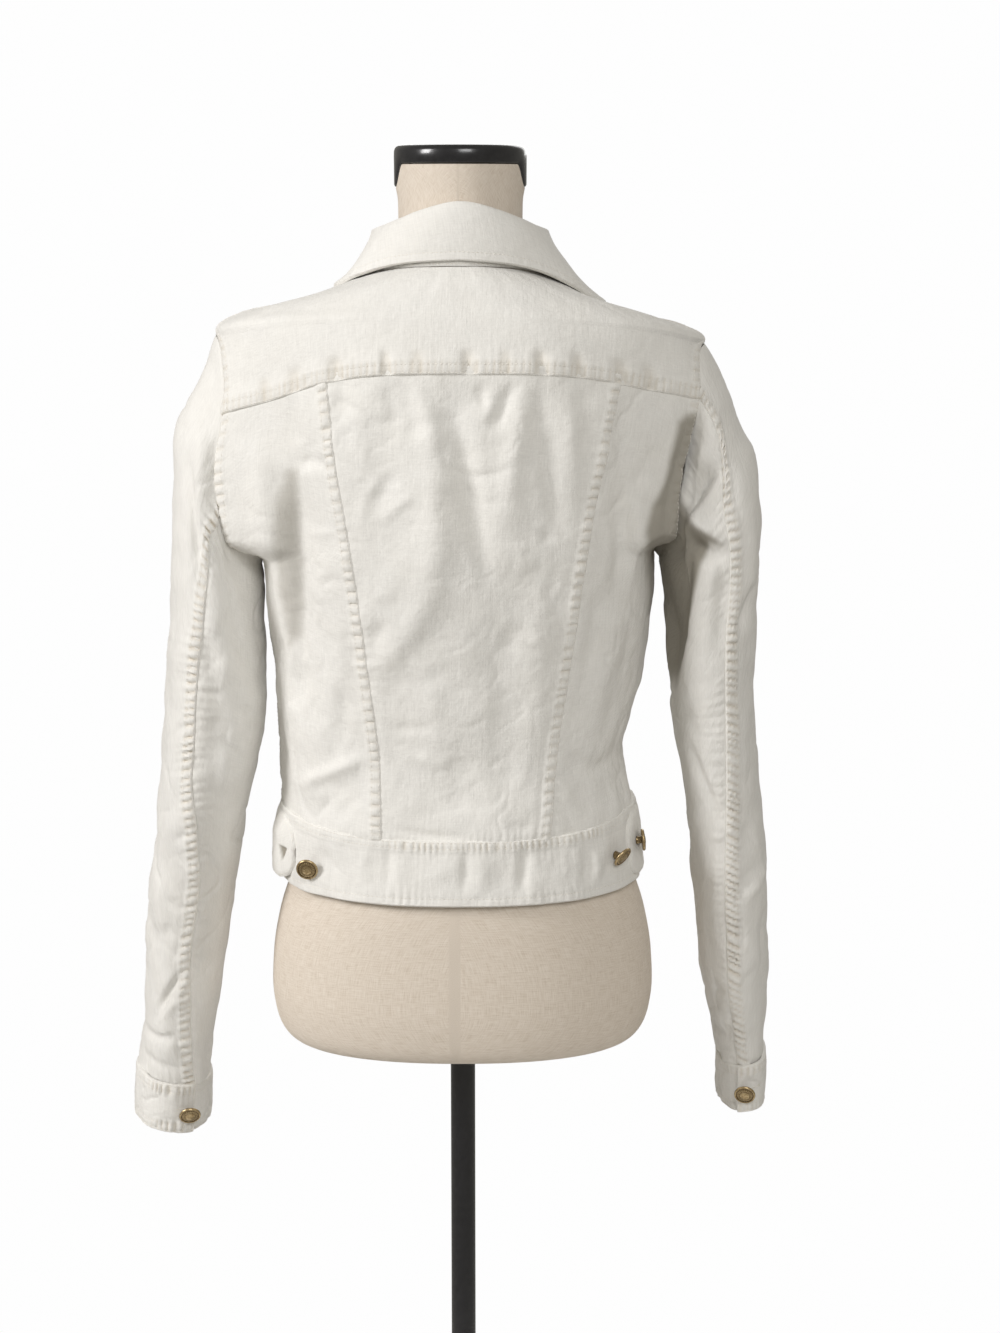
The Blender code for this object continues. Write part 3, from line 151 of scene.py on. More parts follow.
SLEEVE_RIGHT = (
    (0.1935, 1.3417, 0.1515, 1.1920, -0.052, 0.052, 0.95, 56),
    (0.2020, 1.3227, 0.1525, 1.1895, -0.054, 0.054, 0.88, 55),
    (0.2136, 1.2929, 0.1535, 1.1860, -0.056, 0.055, 0.72, 68),
    (0.2255, 1.2699, 0.1545, 1.1780, -0.058, 0.057, 0.54, 80),
    (0.2302, 1.2297, 0.1560, 1.1630, -0.058, 0.058, 0.32, 77),
    (0.2317, 1.1885, 0.1580, 1.1400, -0.057, 0.060, 0.12, 78),
    (0.2292, 1.1500, 0.1608, 1.1098, -0.055, 0.061, 0.02, 80),
    (0.2282, 1.1091, 0.1637, 1.0852, -0.052, 0.061, 0.00, 81),
    (0.2310, 1.0560, 0.1683, 1.0500, -0.047, 0.062, 0.00, 85),
    (0.2372, 1.0031, 0.1754, 1.0030, -0.041, 0.065, 0.00, 92),
    (0.2426, 0.9531, 0.1820, 0.9520, -0.034, 0.070, 0.00, 101),
    (0.2454, 0.9099, 0.1877, 0.9070, -0.027, 0.074, 0.00, 107),
    (0.2467, 0.8613, 0.1919, 0.8600, -0.020, 0.077, 0.00, 108),
    (0.2463, 0.8265, 0.1985, 0.8240, -0.014, 0.080, 0.00, 109),
    (0.2450, 0.7842, 0.2082, 0.7762, -0.0085, 0.0825, 0.00, 112),
)
CUFF_RINGS_LEFT = (
    (0.2615, 0.7830, 0.2030, 0.7700, -0.041, 0.047, 0.0),
    (0.2640, 0.7450, 0.2050, 0.7325, -0.042, 0.048, 0.0),
)
CUFF_RINGS_RIGHT = (
    (0.2458, 0.7840, 0.2075, 0.7760, -0.010, 0.084, 0.0),
    (0.2455, 0.7465, 0.2085, 0.7390, -0.009, 0.085, 0.0),
)
FRONT_SEAM = 250.0
SLEEVE_POWER = 2.2

# The collar by angle round the neck, left and right the same but for where the outer edge lies:
# level and angle of the body surface under the edge, its lift off that surface, and how far the
# cloth stands out and has dropped where it bends from the neck to the shoulder.
COLLAR_END = 170.0
COLLAR_COLUMNS = (
    "angle", "edge_angle", "edge_level_left", "edge_level_right", "lift", "roll", "drop",
)  # fmt: skip
COLLAR = (
    (0.0, 0.0, 11.97, 11.97, 0.0080, 0.009, -0.0015),
    (40.0, 40.0, 11.80, 11.68, 0.0065, 0.009, 0.0010),
    (70.0, 68.0, 11.62, 11.36, 0.0048, 0.007, 0.0140),
    (90.0, 86.0, 11.56, 11.24, 0.0042, 0.005, 0.0240),
    (115.0, 107.0, 11.38, 11.18, 0.0042, 0.007, 0.0190),
    (140.0, 130.0, 11.05, 10.95, 0.0042, 0.008, 0.0150),
    (160.0, 146.0, 10.40, 10.35, 0.0042, 0.008, 0.0120),
    (170.0, 153.0, 9.90, 9.90, 0.0042, 0.008, 0.0100),
)
FOLD_SIDE = 0.0665
FOLD_BACK = 0.0600
FOLD_FRONT = 0.0545
FOLD_Z_BACK = 1.4620
FOLD_Z_SIDE = 1.4410
FOLD_Z_FRONT = 1.3960
FOLD_FLAT = 0.3

# Rings of the dress form below the shoulders: height at the back, the sides and the front, reach
# sideways, back and forward, and power.
FORM_RINGS = (
    (FORM_BOTTOM, FORM_BOTTOM, FORM_BOTTOM, 0.1220, 0.0780, 0.0740, 2.3),
    (0.8110, 0.8110, 0.8110, 0.1350, 0.0880, 0.0840, 2.3),
    (0.8185, 0.8185, 0.8185, 0.1430, 0.0950, 0.0910, 2.3),
    (0.8320, 0.8320, 0.8320, 0.1482, 0.0990, 0.0950, 2.3),
    (0.8540, 0.8540, 0.8540, 0.1508, 0.1020, 0.0980, 2.3),
    (0.8800, 0.8800, 0.8800, 0.1495, 0.1025, 0.0980, 2.3),
    (0.9120, 0.9120, 0.9120, 0.1440, 0.1015, 0.0965, 2.3),
    (0.9400, 0.9400, 0.9400, 0.1368, 0.0995, 0.0945, 2.3),
    (0.9850, 0.9850, 0.9850, 0.1260, 0.0900, 0.0880, 2.3),
    (1.0400, 1.0400, 1.0400, 0.1170, 0.0800, 0.0810, 2.3),
    (1.1000, 1.1000, 1.1000, 0.1280, 0.0840, 0.0930, 2.3),
    (1.1550, 1.1550, 1.1550, 0.1380, 0.0920, 0.1120, 2.3),
    (1.2000, 1.2000, 1.2000, 0.1400, 0.0960, 0.1140, 2.3),
    (1.2600, 1.2500, 1.2600, 0.1440, 0.0990, 0.1020, 2.2),
    (1.3250, 1.3150, 1.3050, 0.1560, 0.0970, 0.0820, 2.2),
    (1.3640, 1.3520, 1.3360, 0.1640, 0.0870, 0.0660, 2.1),
)
FORM_SHOULDER_LEVELS = (10.05, 10.5, 11.0, 11.4)
FORM_NECK_BASE = (
    (1.4120, 1.4020, 1.3690, 0.0680, 0.0620, 0.0470, 2.0),
    (1.4230, 1.4130, 1.3900, 0.0560, 0.0565, 0.0430, 2.0),
)
NECK_RINGS = (
    # height, radius sideways, reach back, reach front, dip of the two sides
    (1.4420, 0.0468, 0.0525, 0.0420, 0.0),
    (1.4650, 0.0470, 0.0520, 0.0430, 0.004),
    (NECK_TOP, 0.0486, 0.0530, 0.0440, 0.017),
)
CAP_PROFILE = (
    # growth of the neck's radius and height above the neck's top
    (-0.0010, 0.0), (0.0006, 0.0006), (0.0012, 0.0020), (0.0013, 0.0060), (0.0012, 0.0095),
    (0.0004, 0.0118), (-0.0012, 0.0132), (-0.0035, 0.0138), (-0.0120, 0.0140),
)  # fmt: skip
FORM_CLEAR = CLOTH + EASE + 0.0014
FORM_SLIMMER = 0.010
TORSO_SIDES = 160


# ---------------------------------------------------------------- helpers
def table_column(rows, columns, name):
    place = columns.index(name)
    return np.array([row[place] for row in rows], float)


def hermite(part, here, slope_here, after, slope_after, width=1.0):
    """A cubic from here to after, a width apart, that leaves and arrives with these slopes."""
    square = part * part
    cube = square * part
    return (
        (2 * cube - 3 * square + 1) * here
        + (cube - 2 * square + part) * width * slope_here
        + (3 * square - 2 * cube) * after
        + (cube - square) * width * slope_after
    )


def smooth_through(at, knots, values):
    """A curve through the values at the knots that never overshoots between two of them."""
    at = np.clip(np.asarray(at, float), knots[0], knots[-1])
    step = np.diff(knots)
    rise = np.diff(values, axis=0) / step.reshape((-1,) + (1,) * (values.ndim - 1))
    slope = np.zeros_like(values)
    slope[0] = rise[0]
    slope[-1] = rise[-1]
    same_way = rise[:-1] * rise[1:] > 0
    total = np.where(same_way, rise[:-1] + rise[1:], 1.0)
    slope[1:-1] = np.where(same_way, 2 * rise[:-1] * rise[1:] / total, 0.0)
    cell = np.clip(np.searchsorted(knots, at, side="right") - 1, 0, len(knots) - 2)
    width = step[cell]
    part = (at - knots[cell]) / width
    if values.ndim > 1:
        part = part[..., None]
        width = width[..., None]
    return hermite(part, values[cell], slope[cell], values[cell + 1], slope[cell + 1], width)


def look_up(rows, columns, key, name, at):
    return smooth_through(at, table_column(rows, columns, key), table_column(rows, columns, name))


def ease_in_out(part):
    part = np.clip(part, 0.0, 1.0)
    return part * part * (3 - 2 * part)


def bell(value):
    return np.exp(-(value**2))


def signed_power(value, power):
    return np.sign(value) * np.abs(value) ** (2.0 / power)


def unit(vectors):
    return vectors / np.maximum(np.linalg.norm(vectors, axis=-1, keepdims=True), 1e-12)


def running(points, axis):
    """Length along the rows or the columns of a grid of points, from the first of each."""
    steps = np.linalg.norm(np.diff(points, axis=axis), axis=-1)
    shape = list(steps.shape)
    shape[axis] = 1
    return np.concatenate([np.zeros(shape), np.cumsum(steps, axis=axis)], axis=axis)


def line_reach(points):
    """Length along one line of points."""
    steps = np.linalg.norm(np.diff(points, axis=0), axis=1)
    return np.concatenate([[0], np.cumsum(steps)])


def at_reach(at, reach, points):
    """Points of a line, or its normals, at some of its lengths."""
    return np.stack([np.interp(at, reach, points[:, axis]) for axis in range(3)], axis=-1)


def full_turn(sides):
    """Angles in radians of the sides of a ring."""
    return 2 * np.pi * np.arange(sides) / sides


# ---------------------------------------------------------------- the body surface
BODY_LEVELS = np.arange(len(BODY_RINGS), dtype=float)


def body_base(level, angle):
    """Points of the jacket's body surface before its folds."""
    level, angle = np.broadcast_arrays(np.asarray(level, float), np.asarray(angle, float))
    ring = smooth_through(level, BODY_LEVELS, np.array(BODY_RINGS, float))
    get = {name: ring[..., place] for place, name in enumerate(BODY_COLUMNS)}
    turn = np.radians(angle)
    side, ahead = np.sin(turn), -np.cos(turn)
    right = side >= 0
    front = ahead > 0
    half = np.where(right, get["right"], get["left"])
    wing = np.where(right, get["wing_right"], get["wing_left"])
    depth = np.where(front, get["front"], get["back"])
    from_middle = np.degrees(np.arcsin(np.clip(np.abs(side), 0, 1)))
    wing_share = ease_in_out((from_middle - WING_FROM) / (WING_TO - WING_FROM))
    x = half * signed_power(side, get["power"]) + np.sign(side) * wing * wing_share
    y = depth * signed_power(ahead, get["power"])
    middle_z = np.where(front, get["z_front"], get["z_back"])
    z = middle_z + (get["z_side"] - middle_z) * np.abs(side) ** 3
    z = z + np.where(right, get["rise_right"], 0.0) * np.abs(side) ** 3
    return np.stack([x, y, z], axis=-1)


def body_normal(level, angle):
    step_level, step_angle = 0.02, 0.4
    top = len(BODY_RINGS) - 1
    low = np.clip(np.asarray(level, float) - step_level, 0, top)
    high = np.clip(np.asarray(level, float) + step_level, 0, top)
    up = body_base(high, angle) - body_base(low, angle)
    across = body_base(level, np.asarray(angle) + step_angle)
    across = across - body_base(level, np.asarray(angle) - step_angle)
    return unit(np.cross(across, up))


# ---------------------------------------------------------------- creases and unevenness
def metres(*rows):
    """The rows of a table that is written in millimetres."""
    return tuple(tuple(round(value / 1000, 7) for value in row) for row in rows)


# Creases in millimetres, seen from behind: a start, a middle and an end point in x and z, a width and
# a depth. A trough is negative. A ninth value is the width on the right-hand side.
BACK_CREASES = metres(
    (-34, 1330, -16, 1307, -21, 1281, 7.9, 3.1),
    (-22, 1290, -9, 1234, -26, 1160, 12.4, 3.9),
    (-22, 1174, -40, 1143, -63, 1111, 11.4, 2.8),
    (-5, 1317, 5, 1273, 22, 1181, 8.8, -4.8),
    (14, 1332, 18, 1324, 20, 1312, 4.4, -2.1),
    (40, 1332, 32, 1315, 26, 1299, 5.3, -2.8),
    (24, 1324, 20, 1314, 17, 1303, 5.3, 1.3),
    (48, 1326, 38, 1285, 36, 1222, 8.8, 3.1),
    (65, 1306, 63, 1266, 73, 1228, 6.3, -3.6),
    (84, 1320, 81, 1284, 87, 1247, 7.9, 1.7),
    (69, 1223, 65, 1220, 61, 1217, 5.3, -1.1),
    (-49, 1326, -27, 1307, -34, 1289, 7.9, -1.7),
    (-62, 1310, -58, 1240, -50, 1190, 15.3, -2),
    (-67, 1239, -56, 1257, -42, 1269, 6.3, -1.4),
    (-59, 1231, -42, 1247, -30, 1253, 4.4, 1.3),
    (-74, 1229, -65, 1255, -58, 1263, 5.3, 1.3),
    (-66, 1132, -60, 1148, -55, 1160, 6.3, -1.7),
    (-38, 1106, -22, 1112, -2, 1122, 7.9, -1.4),
    (-19, 1077, -38, 1072, -56, 1074, 4.4, -1.3),
    (-56, 1058, -31, 1050, -7, 1046, 5.3, 1.1),
    (-12, 1028, 3, 1016, 1, 1010, 7.1, -1.1),
    (-49, 1011, -36, 1014, -23, 1018, 7.1, 0.8),
    (-55, 999, -23, 991, 1, 993, 3.1, -1.7),
    (34, 999, 45, 999, 55, 998, 3.5, -1.1),
    (35, 1153, 41, 1140, 31, 1131, 7.9, -1.3),
    (53, 1136, 56, 1142, 59, 1148, 4.4, 0.8),
    (-115, 1219, -103, 1220, -91, 1221, 3.5, 0.8),
    (-105, 1183, -97, 1185, -88, 1187, 4.4, -0.8),
    (-106, 1289, -110, 1280, -115, 1270, 5.3, -1.5),
    (-96, 1272, -110, 1277, -119, 1268, 5.5, -2.4),
    (-118, 1268, -122.5, 1190, -122.5, 1085, 6.2, -6, 21),
    (-150, 1285, -143, 1240, -141, 1195, 12, 5.8),
    (-91, 1150, -97, 1108, -93, 1068, 8.8, 2.2),
    (-124, 1115, -123, 1099, -125, 1083, 7.9, -2.2),
    (-89, 1099, -87, 1078, -93, 1055, 7.1, -1.7),
    (-127, 1020, -98, 1038, -72, 1050, 5.3, 3.1),
    (-70, 1036, -98, 1018, -122, 1002, 8.3, -2.2),
    (-92, 1001, -88, 1013, -72, 1022, 5.3, -1.5),
    (-115, 1012, -105, 1017, -94, 1022, 6.3, 1.3),
    (105, 1180, 103, 1145, 94, 1098, 7.9, -3.5),
    (118, 1160, 116, 1126, 100, 1080, 7.9, 1.7),
    (80, 1058, 98, 1021, 124, 1048, 7.1, -3.1),
    (88, 1025, 94, 1015, 101, 1002, 6.3, -2),
    (118, 1257, 128, 1214, 115, 1158, 7.9, -5.6),
    (134, 1246, 133, 1205, 127, 1166, 7.1, 2.5),
    (119, 1288, 131, 1269, 143, 1251, 6.3, -2.5),
    (150, 1300, 154, 1250, 136, 1165, 10.6, -2.6),
    (176, 1304, 166, 1262, 154, 1196, 8, -7, 22),
)
YOKE_VALLEYS = metres(
    (-119, 1324, -120, 1300, -114, 1280, 6, -1),
    (-86.6, 1333, -84, 1308, -80, 1280, 6.5, -1.4),
    (-70, 1333, -66, 1300, -69, 1250, 8, 1.2),
    (-51.3, 1335, -50, 1315, -44, 1290, 5.5, -1.5),
    (60.8, 1335, 57, 1310, 60, 1280, 6, -1.6),
    (88.1, 1334, 93, 1300, 90, 1250, 7, -1.4),
    (104, 1330, 106, 1280, 101, 1220, 9, 1.8),
    (119.8, 1332, 118, 1305, 120, 1280, 6, -1.4),
    (-88, 1200, -100, 1150, -96, 1090, 11, -1.6),
    (20, 1170, 35, 1100, 30, 1030, 13, -1.6),
    (-30, 1130, -10, 1070, -15, 1020, 12, 1.4),
    (56, 1200, 60, 1120, 52, 1040, 12, 1.4),
)
FRONT_CREASES = metres(
    (-126, 1280, -132, 1220, -112, 1150, 10, -6),
    (126, 1276, 134, 1214, 116, 1140, 10, -6),
    (-70, 1190, -86, 1120, -100, 1030, 12, -3),
    (66, 1184, 84, 1110, 104, 1024, 12, -3.2),
    (-50, 1330, -78, 1290, -112, 1262, 12, -2.2),
    (52, 1330, 76, 1286, 108, 1256, 12, -2.2),
)
LEFT_SLEEVE_CREASES = metres(
    (206, 1276, 203, 1240, 195, 1185, 4.4, -4.1),
    (196, 1297, 192, 1279, 195, 1242, 6.3, 2),
    (218, 1279, 212, 1289, 206, 1299, 5.3, -1.2),
    (181, 1205, 168, 1170, 158, 1100, 8.3, -4.1),
    (178, 1194, 167, 1165, 156, 1117, 5.3, 1.9),
    (183, 1134, 178, 1144, 174, 1154, 4.4, -1.1),
    (196, 1149, 183, 1118, 185, 1045, 7.9, -3),
    (169, 1081, 164, 1078, 158, 1075, 4.4, -0.8),
    (221, 976, 215, 983, 208, 985, 3.5, -1.2),
    (228, 976, 227, 927, 231, 886, 6.3, -2),
    (188, 1069, 189, 998, 193, 924, 14.7, -2.7),
    (181, 1052, 180, 1034, 179, 1014, 5.3, 1.4),
    (240, 833, 230, 853, 217, 871, 3.5, -4.1),
    (237, 832, 227, 842, 218, 851, 4.4, 1.5),
    (256, 818, 242, 812, 224, 816, 3.5, -2.4),
    (257, 799, 240, 793, 221, 788, 3.5, -1.6),
    (221, 808, 219, 798, 219, 790, 3.5, -1.1),
)
LEFT_SLEEVE_FRONT = metres(
    (214, 1220, 190, 1180, 172, 1110, 8, -3.5),
    (240, 960, 214, 940, 186, 934, 8, -3.5),
    (244, 920, 222, 906, 192, 904, 8, -3),
)
RIGHT_SLEEVE_CREASES = metres(
    (197, 1268, 178, 1248, 168, 1226, 13, -8.5, 4.2),
    (172, 1238, 174, 1222, 202, 1208, 5.2, 5),
    (170, 1214, 180, 1206, 198, 1196, 7, -8.5),
    (194, 1212, 189, 1186, 188, 1160, 5.3, 2),
    (169, 1080, 176, 1066, 182, 1050, 5.3, -1.6),
    (173, 1056, 186, 1024, 201, 988, 3.5, -2.7),
    (198, 960, 198, 917, 201, 885, 3.5, 1.1),
    (194, 976, 200, 977, 206, 977, 2.7, 0.7),
    (216, 1260, 223, 1194, 220, 1160, 5.3, 1.6),
    (224, 1180, 218, 1152, 212, 1139, 4.4, -4.1),
    (196, 1186, 200, 1160, 196, 1126, 8.3, -4),
    (173, 1206, 161, 1150, 156, 1060, 9.5, -8, 6),
    (227, 1006, 226, 987, 223, 969, 7.1, -2),
    (219, 920, 233, 936, 240, 954, 4.4, 2),
    (219, 933, 222, 943, 227, 953, 4.4, -1.2),
    (243, 912, 236, 898, 241, 870, 4.4, -3.4),
    (218, 912, 219, 899, 220, 885, 3.5, -1.1),
    (221, 851, 227, 859, 233, 866, 3.5, -1.5),
    (221, 842, 228, 835, 234, 827, 6.3, 1.5),
    (200, 844, 204, 843, 208, 841, 5.3, -1.5),
    (201, 819, 207, 820, 212, 819, 7.1, 1.2),
    (200, 810, 206, 800, 213, 804, 4.4, -1.5),
    (231, 812, 235, 807, 241, 801, 5.3, -1.5),
)
RIGHT_SLEEVE_FRONT = metres(
    (214, 1220, 190, 1180, 172, 1110, 8, -3.5),
    (238, 990, 214, 970, 182, 962, 8, -3.5),
    (240, 950, 222, 932, 190, 930, 8, -3),
)
BAND_CREASES = metres(
    (-54.6, 986, -54.6, 968, -54, 954, 4.2, -1.6),
    (4.6, 986, 4.2, 968, 3, 951, 4.2, -1.8),
    (14, 984, 18, 966, 16, 950, 6, 1.2),
    (48.3, 986, 47.8, 968, 46.8, 951, 4.8, -2.8),
    (93, 980, 97, 966, 94, 952, 4, -2.2),
    (100, 976, 105.3, 965, 102, 952, 4.5, 2.4),
    (-106, 978, -100, 966, -90, 958, 5, -1.4),
    (-76, 984, -70, 970, -74, 952, 6, 1),
)
# Painted deep shadow darkens the cloth in these hollows: which piece, softness of the outline,
# strength and the outline seen from behind.
PAINTED_SHADOW_HOLLOWS = (
    ("back_side_right", 0.0045, 0.86, (
        (0.1700, 1.3054), (0.1634, 1.3003), (0.1593, 1.2753), (0.1559, 1.2539), (0.1479, 1.2413),
        (0.1424, 1.2307), (0.1388, 1.2186), (0.1412, 1.2095), (0.1430, 1.1500), (0.1600, 1.1500),
        (0.1900, 1.2000), (0.1900, 1.3054))),
    ("sleeve_under_right", 0.0050, 0.30, (
        (0.1500, 1.2850), (0.1640, 1.2850), (0.1680, 1.2620), (0.1650, 1.2390), (0.1500, 1.2350))),
    ("sleeve_under_right", 0.0032, 0.93, (
        (0.1651, 1.2497), (0.1049, 1.2558), (0.1058, 1.1337), (0.1368, 1.0754), (0.1582, 1.0754),
        (0.1633, 1.0949), (0.1660, 1.1229), (0.1702, 1.1491), (0.1752, 1.1706), (0.1809, 1.1936),
        (0.1867, 1.2096), (0.1966, 1.2081), (0.1881, 1.2157), (0.1783, 1.2202), (0.1706, 1.2278),
        (0.1667, 1.2384))),
    ("sleeve_under_left", 0.0100, 0.15, (
        (-0.2095, 1.0929), (-0.1881, 1.0929), (-0.1876, 1.0061), (-0.1874, 0.9421), (-0.1958, 0.8772),
        (-0.2083, 0.8772), (-0.2065, 0.9582))),
    ("sleeve_upper_left", 0.0080, 0.13, (
        (-0.2265, 0.9662), (-0.2125, 0.9662), (-0.2130, 0.8772), (-0.2178, 0.8404), (-0.2351, 0.8404),
        (-0.2301, 0.8854))),
    ("back_side_right", 0.0120, 0.10, (
        (0.1134, 1.1936), (0.1399, 1.1936), (0.1429, 1.1319), (0.1378, 1.0379), (0.1210, 1.0141),
        (0.1066, 1.0851))),
    ("back_side_left", 0.0045, 0.50, (
        (-0.1198, 1.2661), (-0.1218, 1.2288), (-0.1216, 1.1912), (-0.1247, 1.1382),
        (-0.1316, 1.1306), (-0.1369, 1.1686), (-0.1370, 1.2101), (-0.1342, 1.2437),
        (-0.1272, 1.2661))),
)  # fmt: skip
CREASE_GAIN = 1.18
CREASE_STEPS = 14
CREASE_FADE = 0.40
CREASE_TAIL = 0.14
CREASE_MARGIN = 2.6


def both_faces(back, front):
    """Rows of creases, each with the face of the cloth that it is on put before it."""
    return tuple(("back",) + row for row in back) + tuple(("front",) + row for row in front)


BODY_CREASES = both_faces(BACK_CREASES + YOKE_VALLEYS, FRONT_CREASES)
LEFT_CREASES = both_faces(LEFT_SLEEVE_CREASES, LEFT_SLEEVE_FRONT)
RIGHT_CREASES = both_faces(RIGHT_SLEEVE_CREASES, RIGHT_SLEEVE_FRONT)


def part_along(x, z, ax, az, dx, dz):
    """How far along a straight piece the nearest point to each place is, and the distance."""
    part = np.clip(((x - ax) * dx + (z - az) * dz) / (dx * dx + dz * dz), 0, 1)
    return part, np.hypot(x - ax - part * dx, z - az - part * dz)


def crease_height(creases, x, z, is_back):
    """Height of the troughs and ridges of a table of creases at places seen from behind. A tenth
    value is the width on the right-hand side of a crease that is drawn downwards."""
    shape = np.shape(x)
    x, z, is_back = np.ravel(x), np.ravel(z), np.ravel(is_back)
    height = np.zeros(x.size)
    share = np.linspace(-CREASE_TAIL, 1 + CREASE_TAIL, CREASE_STEPS + 1)
    for side, x0, z0, x1, z1, x2, z2, width, depth, *skew in creases:
        right_width = skew[0] if skew else width
        line_x = (1 - share) ** 2 * x0 + 2 * (1 - share) * share * x1 + share**2 * x2
        line_z = (1 - share) ** 2 * z0 + 2 * (1 - share) * share * z1 + share**2 * z2
        margin = CREASE_MARGIN * max(width, right_width)
        close = (x > line_x.min() - margin) & (x < line_x.max() + margin)
        close &= (z > line_z.min() - margin) & (z < line_z.max() + margin)
        close &= is_back if side == "back" else ~is_back
        where = np.nonzero(close)[0]
        if not where.size:
            continue
        px, pz = x[where], z[where]
        nearest = np.full(where.size, 1e9)
        along, reach = np.zeros(where.size), np.zeros(where.size)
        for number in range(CREASE_STEPS):
            ax, az = line_x[number], line_z[number]
            dx, dz = line_x[number + 1] - ax, line_z[number + 1] - az
            part, distance = part_along(px, pz, ax, az, dx, dz)
            closer = distance < nearest
            is_right = (dx * (pz - az) - dz * (px - ax)) > 0
            nearest = np.where(closer, distance, nearest)
            reach = np.where(closer, np.where(is_right, right_width, width), reach)
            along = np.where(closer, (number + part) / CREASE_STEPS, along)
        fade = ease_in_out(along / CREASE_FADE) * ease_in_out((1 - along) / CREASE_FADE)
        height[where] += CREASE_GAIN * depth * fade * bell(nearest / reach)
    return height.reshape(shape)


def inside_outline(outline, x, z, soft):
    """1 within an outline, 0 outside it, with a soft border."""
    inside = np.zeros(np.shape(x), bool)
    nearest = np.full(np.shape(x), 1e9)
    for (ax, az), (bx, bz) in zip(outline, outline[1:] + outline[:1]):
        dx, dz = bx - ax, bz - az
        nearest = np.minimum(nearest, part_along(x, z, ax, az, dx, dz)[1])
        crosses = (az > z) != (bz > z)
        height = np.where(crosses, (z - az) / (dz if dz else 1.0), 0.0)
        inside ^= crosses & (x < ax + height * dx)
    return ease_in_out(0.5 + 0.5 * np.where(inside, nearest, -nearest) / soft)


def wander(at, seed):
    """A smooth random value from -1 to 1 that changes once per unit."""
    table = np.random.RandomState(seed).uniform(-1, 1, 1024)
    cell = np.floor(at).astype(int)
    part = ease_in_out(at - cell)
    return table[cell % 1024] * (1 - part) + table[(cell + 1) % 1024] * part


def rough(u, v, seed):
    """A smooth random height from -1 to 1 over a plane of unit cells."""
    table = np.random.RandomState(seed).uniform(-1, 1, (256, 256))
    i, j = np.floor(u).astype(int), np.floor(v).astype(int)
    a, b = ease_in_out(u - i), ease_in_out(v - j)
    low = table[i % 256, j % 256] * (1 - a) + table[(i + 1) % 256, j % 256] * a
    high = table[i % 256, (j + 1) % 256] * (1 - a) + table[(i + 1) % 256, (j + 1) % 256] * a
    return low * (1 - b) + high * b


def body(level, angle, lift=0.0, folded=True):
    """Points of the body surface, moved out by lift."""
    base = body_base(level, angle)
    height = np.asarray(lift, float)
    if folded:
        is_back = base[..., 1] < 0
        height = height + crease_height(BODY_CREASES, base[..., 0], base[..., 2], is_back)
    height = np.broadcast_to(height, base.shape[:-1])
    return base + body_normal(level, angle) * height[..., None]


def armhole_angle(level, face):
    return look_up(ARMHOLE, ARMHOLE_COLUMNS, "level", face, level)


def princess_angle(level, side):
    """Angle of a back princess seam, from its distance to the centre line."""
    distance = look_up(PRINCESS, PRINCESS_COLUMNS, "level", side, level)
    ring = smooth_through(level, BODY_LEVELS, np.array(BODY_RINGS, float))
    half = ring[..., BODY_COLUMNS.index(side)]
    power = ring[..., BODY_COLUMNS.index("power")]
    angle = np.degrees(np.arcsin(np.clip(distance / half, 0, 1) ** (power / 2)))
    return -angle if side == "left" else angle


def back_edge(level, sign):
    """Angle of the side seam, then the armhole seam, then the shoulder seam, on the back."""
    level = np.asarray(level, float)
    return sign * np.where(level < SHOULDER_TIP, armhole_angle(level, "back"), 90.0)


def front_edge(level, sign):
    level = np.asarray(level, float)
    return sign * (180 - np.where(level < SHOULDER_TIP, armhole_angle(level, "front"), 90.0))


UNDERLAP_ANGLE = 7.0
PLACKET_HALF_WIDTH = 0.017


def placket_angle(levels):
    """Half angle of a strip of constant width down the centre front."""
    levels = np.asarray(levels, float)
    ahead = body_base(levels, np.full(levels.shape, 178.0))
    per_degree = np.linalg.norm(ahead - body_base(levels, np.full(levels.shape, 180.0)), axis=-1)
    return PLACKET_HALF_WIDTH / (per_degree / 2)


# ---------------------------------------------------------------- side adjuster tabs
# Angle from the centre back, lower and upper edge as levels, and lift of the tab's inner face.
TAB_COLUMNS = ("angle", "low", "high", "lift")
TAB_CLEAR = BAND_LIFT + 0.0004
TAB_LEFT = (
    (97.0, 0.10, 0.92, TAB_CLEAR),
    (90.0, 0.09, 0.93, TAB_CLEAR + 0.0006),
    (84.0, 0.08, 0.94, TAB_CLEAR + 0.0030),
    (78.0, 0.07, 0.95, TAB_CLEAR + 0.0052),
    (72.0, 0.08, 0.94, TAB_CLEAR + 0.0048),
    (67.0, 0.13, 0.88, TAB_CLEAR + 0.0022),
    (63.0, 0.24, 0.76, TAB_CLEAR + 0.0006),
    (61.0, 0.38, 0.62, TAB_CLEAR + 0.0024),
)
TAB_RIGHT = (
    (97.0, 0.10, 0.92, TAB_CLEAR),
    (91.0, 0.09, 0.93, TAB_CLEAR + 0.0004),
    (86.0, 0.08, 0.94, TAB_CLEAR + 0.0008),
    (81.0, 0.07, 0.95, TAB_CLEAR + 0.0010),
    (76.0, 0.08, 0.94, TAB_CLEAR + 0.0010),
    (71.0, 0.13, 0.88, TAB_CLEAR + 0.0008),
    (67.5, 0.24, 0.76, TAB_CLEAR + 0.0006),
    (66.0, 0.38, 0.62, TAB_CLEAR + 0.0004),
)


# ---------------------------------------------------------------- sleeves
ARMHOLE_SAMPLES = 80
ARMHOLE_REACH = 0.0503


